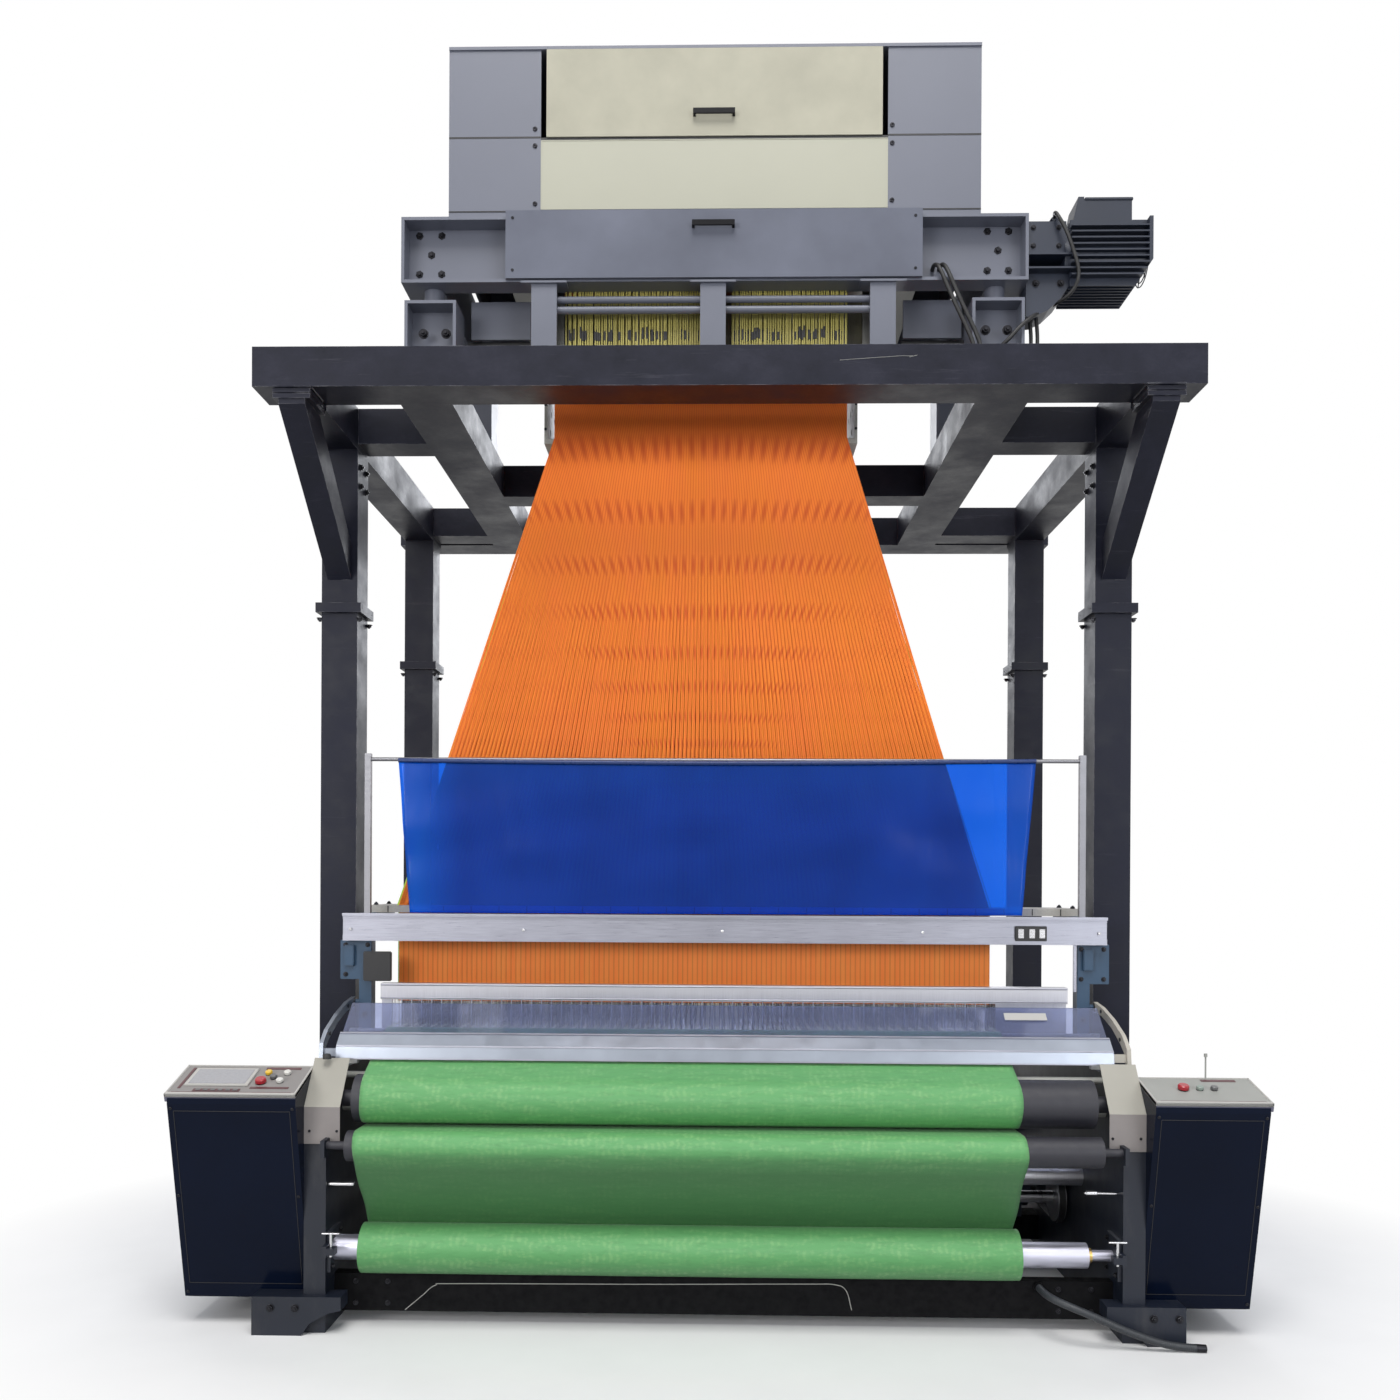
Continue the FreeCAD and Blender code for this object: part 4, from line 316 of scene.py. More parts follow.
def fan_yarn(name, bright, deep):
    """Harness cord whose crossing depth rows show as lens-shaped shadows, closer toward the board."""
    look = Finish(name, 0.75, Sheen_Weight=0.15)
    east, up = look.along("X"), look.along("Z")
    rise = look.math("MAXIMUM", look.less(up, 1.53), 0.05)
    across = look.math("DIVIDE", look.plus(east, 0.1), rise)
    warp_noise = look.times(look.less(look.noise(3.2, 3), 0.5), 0.01)
    lens = look.math("SINE", look.times(look.plus(across, warp_noise), 242))
    depth = look.times(look.math("LOGARITHM", rise, e), 43.3)
    shift = look.times(look.noise(2.1, 3), 1.6)
    row = look.math("COSINE", look.plus(look.plus(depth, shift), -28.3))
    row = look.spread(row, 0.06, 1, 0.1, 1.0)
    inner = look.spread(look.math("ABSOLUTE", across), 1, 0.25, 0.36, 0.52)
    dark = look.times(look.times(look.spread(lens, -0.45, 1, -1, 1), row), inner)
    tone = look.noise(7, 4, (1, 0.2, 0.35))
    base = look.ramp(tone, (0.35, bright), (0.65, shade(bright, 1.12)))
    # painted shade: thin darker stripes between the cord bundles, at their pitch along the fan
    wide = look.plus(look.times(up, -0.6519), 3.43718)
    bundle_gap_shade = look.math("DIVIDE", look.plus(east, 0.11), wide)
    bundle_gap_shade = look.math("SINE", look.times(look.plus(bundle_gap_shade, warp_noise), 240 * pi))
    base = look.mix(look.spread(bundle_gap_shade, 0, 0.5, 0.1, 1), base, deep)
    base = look.mix(look.spread(dark, 0, 0.75, 0, 1), base, deep)
    # painted shade: the cords darken toward the deep orange above 3.36 m, in the shade of the deck's front beam
    top = look.less(up, 3.36)
    look.colour(look.mix(look.spread(top, 0, 0.3, 0, 0.1), base, deep))
    look.rough(tone, 0.65, 0.8)
    return look.bump(look.waves(160, "Z"), 0.0004, 0.3)


STEEL = mill_steel()
HOUSING = paint("housing_paint", (0.15, 0.16, 0.2), 0.38, 0.05, 0.2)
CREAM = paint("cream_paint", (0.425, 0.422, 0.338), 0.36, 0.03, 0.2)
FRAME_NAVY = paint("frame_paint", (0.004, 0.007, 0.016), 0.45, 0.3, 0.3, dust=0.12)
BLACK = plastic("floor_black", (0.0022, 0.0022, 0.003), 0.7, Specular_IOR_Level=0.15)
MOTOR = paint("motor_paint", (0.018, 0.024, 0.042), 0.42, 0.2, 0.3)
TEAL = paint("bracket_paint", (0.03, 0.075, 0.14), 0.4, 0.15, 0.3)
BEZEL = paint("console_bezel", (0.5, 0.49, 0.46), 0.4, 0.05, 0.1)
GROUND = metal("machine_steel", (0.36, 0.36, 0.375), 0.34, (6, 1, 1), 0.08)
# painted reflection: flat light grey paint on the bright steel press roller and breast bars stands in for their
# reflection; on the beam's scratches it is bare-metal wear
WEAR_AND_REFLECTION_GREY = paint("bare_wear_and_painted_reflection_grey", (0.5, 0.5, 0.46), 0.4, 0.05, 0.1)
ALU = metal("aluminium", (0.34, 0.345, 0.4), 0.34, (1.2, 60, 60))
TUBE = metal("core_tube", (0.56, 0.56, 0.66), 0.42, (0.6, 6, 6), 0.06)
OILED = metal("oiled_steel", (0.2, 0.2, 0.19), 0.4)
CHROME = metal("fitting_steel", (0.66, 0.66, 0.68), 0.16)
POLE = metal("pole_steel", (0.24, 0.24, 0.26), 0.42, (1, 1, 8), 0.1)
BRASS = metal("brass", (0.62, 0.44, 0.16), 0.3)
BOLT = metal("black_bolt", (0.035, 0.035, 0.04), 0.35)
SLEY = metal("sley_aluminium", (0.52, 0.52, 0.56), 0.38, (60, 1, 1))
REED = metal("reed_wire", (0.45, 0.45, 0.47), 0.25, (60, 1, 1))
RUBBER = plastic("black_rubber", (0.012, 0.012, 0.013), 0.55)
DARK = plastic("dark_plastic", (0.01, 0.01, 0.012), 0.35)
ROLLER = plastic("roller_cover", (0.022, 0.022, 0.03), 0.5)
GREY_HOSE = plastic("hose_grey", (0.03, 0.034, 0.04), 0.45)
BOARD = plastic("board", (0.4, 0.385, 0.35), 0.5)
RED = plastic("button_red", (0.4, 0.014, 0.024), 0.25, Coat_Weight=0.3)
YELLOW = plastic("button_yellow", (0.8, 0.5, 0.03), 0.25, Coat_Weight=0.5)
PALE = plastic("button_white", (0.72, 0.71, 0.66), 0.25, Coat_Weight=0.5)
SAGE = plastic("button_sage", (0.27, 0.33, 0.29), 0.3)
GREY = plastic("button_grey", (0.13, 0.13, 0.13), 0.3)
GLASS = clear("hood_sheet", (0.42, 0.47, 0.7), 0.05, 0.85)
SCREEN = plastic("screen", (0.33, 0.33, 0.35), 0.18, Coat_Weight=0.6)
HOOK_LIME = paint("hook_lime", (0.47, 0.41, 0.11), 0.4, 0.2, 0.1)
# painted shade: a darkened copy of the hook colour, for the wires in the head's shaded inside
WIRE_SHADED = paint("hook_painted_shade", (0.05, 0.045, 0.022), 0.45, 0.2, 0.1)
FILM_DARK = plastic("film_hem", (0.008, 0.03, 0.14), 0.3)
LIP = plastic("console_lip", (0.13, 0.13, 0.19), 0.35)
MAROON = plastic("maroon_strip", (0.1, 0.03, 0.035), 0.35)
FILM = film_blue()
CLOTH = woven("green_cloth", (0.125, 0.4, 0.135), (0.36, 0.66, 0.27))
ORANGE = fan_yarn("harness_orange", (1.0, 0.245, 0.022), (0.68, 0.08, 0.007))
CORD_ENDS = yarn("cord_orange", (1.0, 0.265, 0.035), (1.0, 0.33, 0.06), 120, "Z", gap_shade_pitch=0.02025)
LIME = yarn("harness_lime", (0.36, 0.62, 0.03), (0.55, 0.7, 0.08), 120, "Z")
WARP = yarn("warp_yarn", (0.58, 0.66, 0.38), (0.72, 0.76, 0.55), 300, "X")


# --- shapes
FRONT, UP = (0, -1, 0), (0, 0, 1)


class Shape:
    """One mesh grown from bevelled blocks, turned forms, tubes and pulled outlines."""

    def __init__(self):
        self.verts, self.faces = [], []

    def take(self, work, bevel, place=None):
        if bevel:
            bmesh.ops.bevel(work, geom=work.edges[:], offset=bevel, segments=2, affect="EDGES")
        base = len(self.verts)
        work.verts.index_update()
        self.verts += [tuple(place @ v.co if place else v.co) for v in work.verts]
        self.faces += [[base + v.index for v in face.verts] for face in work.faces]
        work.free()

    def block(self, low, high, bevel=0.001, place=None):
        work = bmesh.new()
        low, high = Vector(low), Vector(high)
        bmesh.ops.create_cube(work, size=1)
        for v in work.verts:
            v.co = (low + high) / 2 + Vector(c * s for c, s in zip(v.co, high - low))
        self.take(work, bevel, place)

    def pulled(self, outline, low, high, bevel):
        """An outline of (y, z) points pulled along X."""
        work = bmesh.new()
        face = work.faces.new([work.verts.new((low, y, z)) for y, z in outline])
        grown = bmesh.ops.extrude_face_region(work, geom=[face])["geom"]
        ends = [v for v in grown if isinstance(v, bmesh.types.BMVert)]
        bmesh.ops.translate(work, verts=ends, vec=(high - low, 0, 0))
        bmesh.ops.recalc_face_normals(work, faces=work.faces)
        self.take(work, bevel)

    def loop(self, centre, across, other, radius, sides, phase=0.0):
        """Points round a centre, in the plane of two directions."""
        for i in range(sides):
            a = phase + tau * i / sides
            self.verts.append(tuple(centre + (across * cos(a) + other * sin(a)) * radius))

    def turned(self, start, way, outline, sides=24, phase=0.0):
        """A form turned about `way`, from (distance along, radius) pairs."""
        way, start = Vector(way).normalized(), Vector(start)
        across = way.orthogonal().normalized()
        base = len(self.verts)
        for along, radius in outline:
            self.loop(start + way * along, across, way.cross(across), radius, sides, phase)
        self.skin(base, len(outline), sides)

    def skin(self, base, rings, sides, caps=True):
        for k in range(rings - 1):
            for i in range(sides):
                a, b = base + k * sides + i, base + k * sides + (i + 1) % sides
                self.faces.append((a, b, b + sides, a + sides))
        if caps:
            self.faces.append(list(range(base + sides - 1, base - 1, -1)))
            last = base + (rings - 1) * sides
            self.faces.append(list(range(last, last + sides)))

    def rod(self, start, end, radius, sides=12):
        start, end = Vector(start), Vector(end)
        long = (end - start).length
        soft = min(radius, long / 2) * 0.15
        shape = [(0, radius - soft), (soft, radius), (long - soft, radius), (long, radius - soft)]
        self.turned(start, end - start, shape, sides)

    def tube(self, points, radius, sides=8, swell=None):
        """A round tube along points; `swell` gives its radius from the distance along."""
        points = [Vector(p) for p in points]
        base, travelled = len(self.verts), 0.0
        across = (points[1] - points[0]).orthogonal().normalized()
        for i, point in enumerate(points):
            ahead = (points[min(i + 1, len(points) - 1)] - points[max(i - 1, 0)]).normalized()
            across = (across - ahead * across.dot(ahead)).normalized()
            if i:
                travelled += (point - points[i - 1]).length
            self.loop(point, across, ahead.cross(across), swell(travelled) if swell else radius, sides)
        self.skin(base, len(points), sides)

    def cable(self, points, radius=0.0075, sides=10, steps=8):
        self.tube(smooth_line(points, steps), radius, sides)

    def strand(self, start, end, radius):
        """A thread as a three-sided prism without ends."""
        base = len(self.verts)
        start, end = Vector(start), Vector(end)
        way = (end - start).normalized()
        across = way.orthogonal().normalized()
        for point in (start, end):
            self.loop(point, across, way.cross(across), radius, 3, 0.5)
        self.skin(base, 2, 3, caps=False)

    def bolts(self, points, out, radius, washer=True, stud=True):
        """Hexagon heads with washers and stud ends, standing on a face."""
        out = Vector(out)
        tall = radius * 0.75
        for point in points:
            lift = 0.0
            if washer:
                lift = radius * 0.22
                self.turned(point, out, [(0, radius * 1.3), (lift * 0.8, radius * 1.3), (lift, radius * 1.2)], 20)
            seat = Vector(point) + out * lift
            turn = chance.uniform(0, 1)
            self.turned(seat, out, [(0, radius), (tall * 0.85, radius), (tall, radius * 0.86)], 6, turn)
            if stud:
                end = [(0, radius * 0.5), (tall * 1.45, radius * 0.5), (tall * 1.6, radius * 0.4)]
                self.turned(seat, out, end, 12)

    def screws(self, points, out, radius):
        """Round heads with a socket."""
        head = ((0, 1), (0.35, 0.95), (0.5, 0.6), (0.5, 0.4), (0.15, 0.35))
        for point in points:
            self.turned(point, out, [(radius * along, radius * wide) for along, wide in head], 12)

    def done(self, name, finish, body="root", smooth=False, slot=None):
        mesh = bpy.data.meshes.new(name)
        mesh.from_pydata(self.verts, [], self.faces)
        mesh.validate()
        mesh.materials.append(finish)
        if smooth:
            mesh.shade_smooth()
            mesh.set_sharp_from_angle(angle=radians(38))
        thing = bpy.data.objects.new(name, mesh)
        scene.collection.objects.link(thing)
        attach(thing, body)
        return thing


def sheet_of(name, points, finish, thick):
    """A smooth sheet through rows of points."""
    rows, columns = len(points), len(points[0])
    shape = Shape()
    shape.verts = [tuple(p) for row in points for p in row]
    shape.faces = [
        (r * columns + c, r * columns + c + 1, (r + 1) * columns + c + 1, (r + 1) * columns + c)
        for r in range(rows - 1) for c in range(columns - 1)
    ]
    sheet = shape.done(name, finish, smooth=True)
    solid = sheet.modifiers.new("thickness", "SOLIDIFY")
    solid.thickness = thick
    solid.offset = 0
    return sheet


def tilted(base, along, out):
    """The placing of a form on a plate that slopes about X."""
    place = Matrix((Vector((1, 0, 0)), along, out)).transposed().to_4x4()
    place.translation = base
    return place


def boxes(name, finish, *blocks):
    """One piece made of blocks, each with its low corner, high corner and bevel."""
    shape = Shape()
    for low, high, *bevel in blocks:
        shape.block(low, high, *bevel)
    shape.done(name, finish)


# --- finishes that change along a node
def two_finish(name, first, second, choose, rough, metallic=None):
    """Two colours on one node, split where `choose` passes 0."""
    look = Finish(name, rough[0], Specular_IOR_Level=0.1)
    share = look.math("GREATER_THAN", choose(look), 0.0)
    cloud = look.noise(2.5, 6)
    look.colour(look.mix(share, look.tints(cloud, first, 0.85, 1.15), look.tints(cloud, second, 0.92, 1.08)))
    speckle = look.spread(look.noise(15, 5), -0.05, 0.05, 0.3, 0.7)
    look.put(look.shader, "Roughness", look.plus(look.spread(share, *rough), speckle))
    if metallic:
        look.put(look.shader, "Metallic", look.spread(share, *metallic))
    return look.bump(look.noise(380, 2), 0.0004, 0.25)


def above_console(side):
    """High above the underside of a console plate, which slopes from nose to rear."""
    (nose_y, nose_z), (rear_y, rear_z) = CONSOLE_NOSE, CONSOLE_REAR[side]
    rise, run = rear_z - nose_z, rear_y - nose_y
    long = hypot(rise, run)

    def choose(look):
        back = look.times(look.along("Y"), -rise / long)
        up = look.times(look.along("Z"), run / long)
        seat = (nose_z * run - nose_y * rise) / long
        return look.less(look.plus(back, up), seat + 0.0005)

    return choose


def beyond(axis, limit, sign=1):
    def choose(look):
        return look.times(look.less(look.along(axis), limit), sign)
    return choose


CONSOLE_NOSE = (-1.245, 0.87)  # (y, z) on the underside of the plate
CONSOLE_REAR = {-1: (-1.035, 0.942), 1: (-1.035, 0.926)}
NAVY, EDGE_BLACK = (0.0022, 0.0055, 0.018), (0.012, 0.012, 0.014)
PLATE_LEFT, PLATE_RIGHT = (0.3, 0.285, 0.275), (0.37, 0.375, 0.35)
LEFT_CABINET = two_finish("cabinet_left_paint", NAVY, PLATE_LEFT, above_console(-1), (0.2, 0.42))
RIGHT_CABINET = two_finish("cabinet_right_paint", NAVY, PLATE_RIGHT, above_console(1), (0.2, 0.42))
DOOR = two_finish("door_paint", (0.455, 0.44, 0.352), EDGE_BLACK, beyond("Y", -0.7955, -1), (0.36, 0.3))
LOW_COVER = two_finish("cover_two", (0.156, 0.167, 0.208), EDGE_BLACK, beyond("Y", -0.8878, -1), (0.36, 0.3))
HOOD_RAIL = two_finish("hood_rail_finish", (0.33, 0.36, 0.42), (0.5, 0.475, 0.415), beyond("X", 1.452),
                       (0.34, 0.42), (0.9, 0.0))
# painted shade: the bearing covers are darker below 0.822 m, on their lower face, than above
SHADED_COVERS = two_finish("bearing_cover_painted_shade", (0.3, 0.275, 0.265), (0.41, 0.395, 0.345), beyond("Z", 0.822),
                    (0.42, 0.42))

PLAIN = {
    STEEL: "gantry_posts gantry_deck gantry_braces",
    HOUSING: "jacquard_frame jacquard_walls",
    CREAM: "jacquard_front_panel",
    DOOR: "upper_door",
    LOW_COVER: "lower_cover",
    OILED: "hook_block knife_frame_front knife_frame_rear",
    MOTOR: "jacquard_motor letoff_motor main_motor",
    RUBBER: "jacquard_cables drive_belt",
    BOARD: "harness_boards",
    ALU: "comber_rail",
    POLE: "film_frame",
    TEAL: "rail_brackets",
    FRAME_NAVY: "side_frame_left side_frame_right roll_brackets",
    BLACK: "cross_members",
    LEFT_CABINET: "cabinet_left",
    RIGHT_CABINET: "cabinet_right",
    SHADED_COVERS: "bearing_covers",
    # painted reflection: light grey paint in place of the rollers' bright steel
    WEAR_AND_REFLECTION_GREY: "press_roller breast_bars",
    GROUND: "warp_beam letoff_pinion main_shaft motor_pulley back_rest_roller",
    SLEY: "sley_beam reed",
    ROLLER: "takeup_roller guide_roller",
    TUBE: "cloth_core",
    GLASS: "hood_glass",
    HOOD_RAIL: "hood_rail",
    CHROME: "clamp_handle_left clamp_handle_right",
    BOLT: "hose_coupling",
    RED: "stop_button_left stop_button_right",
    YELLOW: "yellow_button",
    PALE: "white_button clear_button",
    SAGE: "start_button",
    GREY: "black_button jog_button",
}
for finish, nodes in PLAIN.items():
    for node in nodes.split():
        for place in bpy.data.objects[node].material_slots:
            place.material = finish


def bolted(name, *groups):
    """One piece of bolts, from groups of points, direction and radius."""
    shape = Shape()
    for points, out, radius in groups:
        shape.bolts(points, out, radius)
    shape.done(name, BOLT)


def smooth_line(points, steps=8):
    """Points along a Catmull-Rom curve through the given ones."""
    points = [Vector(p) for p in points]
    points = [2 * points[0] - points[1], *points, 2 * points[-1] - points[-2]]
    line = []
    for a, b, c, d in zip(points, points[1:], points[2:], points[3:]):
        for k in range(steps):
            t = k / steps
            line.append(0.5 * (2 * b + (c - a) * t + (2 * a - 5 * b + 4 * c - d) * t * t
                               + (3 * b - a - 3 * c + d) * t ** 3))
    line.append(points[-2])
    return line


# --- gantry
def gantry():
    """Flange, base and brace bolts, and weld seams at the front beam's ends."""
    post_x, front_y, back_y = 1.604, -0.412, 0.958
    groups, welds = [], Shape()
    for side in (-1, 1):
        for y in (front_y, back_y):
            for z, out in ((2.742, -1), (2.782, 1)):
                spots = [(side * post_x + dx, y + dy, z) for dx in (-0.083, 0.083) for dy in (-0.07, 0.07)]
                groups.append((spots, (0, 0, out), 0.011))
            base = [(side * post_x + dx, y + dy, 0.02) for dx in (-0.095, 0.095) for dy in (-0.095, 0.095)]
            groups.append((base, UP, 0.012))
        brace = [(side * (post_x - 0.0755), front_y + dy, z) for dy in (-0.04, 0.04) for z in (3.3, 3.38)]
        groups.append((brace, (-side, 0, 0), 0.011))
        x = side * 1.6
        welds.tube([(x - 0.07, -1.0865, 3.4675), (x + 0.07, -1.0865, 3.4675)], 0.004, 6)
        welds.tube([(side * 1.529, y, 3.4665) for y in (-1.08, -0.95)], 0.004, 6)
    bolted("gantry_bolts", *groups)
    welds.done("weld_seams", STEEL)


# --- jacquard machine
def jacquard():
    web = -0.7812
    dice = [(-1.2, 4.171), (-1.113, 4.171), (-1.153, 4.096), (-1.2, 4.021), (-1.113, 4.021),
            (1.012, 4.176), (1.094, 4.176), (1.053, 4.102), (1.012, 4.024), (1.094, 4.024)]
    bolted("tray_bolts", ([(x, web, z) for x, z in dice], FRONT, 0.0155))
    small = Shape()
    spots = [(-1.068, 4.126), (-1.04, 4.075), (-0.965, 4.016), (-0.926, 4.075), (-0.93, 4.126), (-1.068, 4.03),
             (1.006, 4.13), (1.006, 4.049), (0.936, 4.131), (0.93, 4.05)]
    small.screws([(x, web, z) for x, z in spots], FRONT, 0.006)
    stile = [(-0.75, 4.59), (-0.75, 4.524), (-0.749, 4.297), (0.643, 4.595), (0.643, 4.525), (0.643, 4.303)]
    small.screws([(x, -0.788, z) for x, z in stile], FRONT, 0.0095)
    small.screws([(x, -0.8873, z) for x in (-0.82, 0.72) for z in (3.99, 4.19)], FRONT, 0.006)
    small.done("housing_screws", BOLT)
    boxes("housing_seams", DARK, ((-0.727, -0.7885, 4.5465), (0.627, -0.777, 4.5555), 0),
          *(((x0, y, low), (x1, -0.7872, high), 0) for x0, x1 in ((-1.088, -0.727), (0.627, 0.988))
            for y, low, high in ((-0.7888, 4.5535, 4.5605), (-0.7895, 4.265, 4.27))))
    boxes("panel_rim", CREAM,
          *(((-0.727, -0.7892, z - 0.002), (0.627, -0.7875, z + 0.002), 0.0005) for z in (4.276, 4.544)),
          *(((x - 0.002, -0.7892, 4.276), (x + 0.002, -0.7875, 4.544), 0.0005) for x in (-0.725, 0.625)))
    boxes("side_plates", HOUSING, ((-1.012, -0.712, 3.8), (-0.775, -0.7, 3.95)),
          ((0.7, -0.712, 3.8), (0.93, -0.7, 3.95)))
    boxes("shadow_plates", DARK, ((-1.03, -0.69, 3.63), (-0.74, -0.68, 3.8)),
          ((0.7, -0.69, 3.63), (0.95, -0.68, 3.8)))
    feet = (-1.176, 3.775), (-1.088, 3.775), (1.000, 3.78), (1.084, 3.78)
    bolted("mount_bolts", ([(x, -0.8215, z) for x, z in feet], FRONT, 0.015))


def beam_scratches():
    """Two bare scratches on the front of the deck's front beam."""
    scratch = Shape()
    for x0, z0, x1, z1 in ((0.415, 3.556, 0.52, 3.563), (0.52, 3.563, 0.64, 3.571),
                           (0.64, 3.571, 0.682, 3.57), (0.668, 3.566, 0.697, 3.573)):
        scratch.strand((x0, -1.0858, z0), (x1, -1.0858, z1), 0.0013)
    scratch.done("beam_scratches", WEAR_AND_REFLECTION_GREY)


def jacquard_sides():
    """Screwed cover plates with louvres on the rear of the head, and plates on its two ends."""
    plates, slats, screws = Shape(), Shape(), Shape()
    low_edge, high_edge, rear = 4.235, 4.885, 0.0625
    for x0, x1 in ((-1.068, -0.062), (-0.038, 0.968)):
        plates.block((x0, rear - 0.003, low_edge), (x1, rear, high_edge), 0.001)
        screws.screws([(x, rear, z) for x in (x0 + 0.03, (x0 + x1) / 2, x1 - 0.03) for z in (4.26, 4.56, 4.86)],
                      (0, 1, 0), 0.0085)
        for k in range(8):
            z = 4.33 + 0.024 * k
            for middle in (0.28, 0.72):
                x = x0 + (x1 - x0) * middle
                slats.block((x - 0.15, 0.0615, z), (x + 0.15, 0.07, z + 0.01), 0.003)
    for x, way in ((-1.088, -1), (0.988, 1)):
        low, high = sorted((x - 0.0005 * way, x + 0.0025 * way))
        plates.block((low, -0.735, low_edge), (high, 0.015, high_edge), 0.001)
        face = x + 0.0025 * way
        screws.screws([(face, y, z) for y in (-0.71, -0.36, -0.01) for z in (4.26, 4.86)], (way, 0, 0), 0.0085)
    plates.done("head_plates", HOUSING)
    slats.done("head_louvres", HOUSING)
    screws.done("head_screws", BOLT)


def lifting_hooks():
    """Rows of thin lifting hooks in front of the block, with dark collars low on them."""
    wires, collars = Shape(), Shape()
    left, wide, count = -0.622, 1.096, 118
    for row, y in enumerate((-0.79, -0.776)):
        for i in range(count):
            x = left + wide * (i + 0.5 * row + chance.uniform(-0.25, 0.25)) / count
            if abs(x + 0.032) < 0.052:  # behind the middle post
                continue
            low = 3.628 + chance.uniform(0, 0.006)
            wires.block((x - 0.0022, y - 0.002, low), (x + 0.0022, y + 0.002, 3.951), 0)
            if chance.random() < 0.42:
                z = 3.762 + chance.uniform(-0.006, 0.008)
                top = z + chance.uniform(0.03, 0.046)
                collars.block((x - 0.0034, y - 0.0035, z), (x + 0.0034, y + 0.0035, top), 0)
    # painted shade: a close row of dark wires behind the hooks stands for the shade inside the head and hides the
    # cords behind it
    behind = Shape()
    for x in (-0.707 + 0.0049 * i for i in range(262)):
        behind.block((x - 0.0023, -0.742, 3.622), (x + 0.0023, -0.738, 3.955), 0)
    behind.done("rear_wires", WIRE_SHADED, slot="hook_steel")
    wires.done("lifting_wires", HOOK_LIME, slot="hook_steel")
    collars.done("wire_collars", DARK)


def jacquard_motor():
    """Fan guard, terminal box, bolts and leads of the head's motor."""
    x0, x1, y, z = 1.296, 1.623, -0.75, 4.064
    shape = Shape()
    for r in (0.022, 0.043, 0.064, 0.08):
        turns = [tau * k / 40 for k in range(41)]
        shape.tube([(x1 - 0.002, y + r * cos(a), z + r * sin(a)) for a in turns], 0.0022, 6)
    for k in range(3):
        a = k * pi / 3
        dy, dz = 0.082 * cos(a), 0.082 * sin(a)
        shape.tube([(x1 - 0.002, y - dy, z - dz), (x1 - 0.002, y + dy, z + dz)], 0.0022, 6)
    shape.block((x0 + 0.084, y - 0.07, 4.282), (x0 + 0.269, y + 0.07, 4.2925), 0.002)
    gland = [(0, 0.022), (0.03, 0.022), (0.034, 0.018), (0.05, 0.018)]
    shape.turned((1.3, y - 0.03, 4.196), (-0.62, 0, 0.78), gland, 6)
    shape.done("motor_fittings", MOTOR, smooth=True)
    parts = Shape()
    parts.screws([(x0 + dx, y + dy, 4.2925) for dx in (0.096, 0.256) for dy in (-0.056, 0.056)], UP, 0.006)
    parts.bolts([(x, -0.85, z) for x in (1.175, 1.272) for z in (4.09, 4.16)], FRONT, 0.008, stud=False)
    parts.bolts([(1.285, -0.8305, 3.955), (1.19, -0.8305, 3.955)], FRONT, 0.011)
    parts.done("motor_screws", BOLT)
    lead = Shape()
    lead.cable([(1.275, y - 0.03, 4.23), (1.262, -0.83, 4.226), (1.262, -0.872, 4.195), (1.29, -0.887, 4.13),
                (1.318, -0.89, 4.05), (1.337, -0.89, 3.975), (1.33, -0.875, 3.925), (1.3, -0.85, 3.892),
                (1.262, -0.8, 3.884)], 0.007)
    lead.cable([(1.205, -0.815, 3.845), (1.172, -0.862, 3.815), (1.12, -0.884, 3.768), (1.078, -0.884, 3.722),
                (1.052, -0.868, 3.7), (1.04, -0.828, 3.692)])
    for x in (1.178, 1.203):
        lead.cable([(x, -0.79, 3.84), (x + 0.004, -0.795, 3.75), (x, -0.79, 3.616)])
    lead.done("motor_lead", RUBBER, smooth=True, slot="cable_black")


# --- harness
DENT_LEFT, DENT_PITCH, DENTS = -1.335, 0.0405, 60
DEPTH_ROWS = 8
COMBER_LOW, COMBER_TOP = 1.515, 1.545
GUIDE_LOW, GUIDE_TOP = 3.441, 3.459
HEAD_LOW = 3.985
SPRING_FOOT, SPRING_TOP, HEDDLE_TOP = 0.49, 0.7, 1.15


def across(*shifts):
    """Places across the warp: every dent's middle with these shifts, from left to right."""
    return [DENT_LEFT + DENT_PITCH * (dent + 0.5) + shift for dent in range(DENTS) for shift in shifts]


COLUMNS = across(-0.0101, 0.0101)
ROW_Y = [-0.53 + 0.036 * row for row in range(DEPTH_ROWS)]


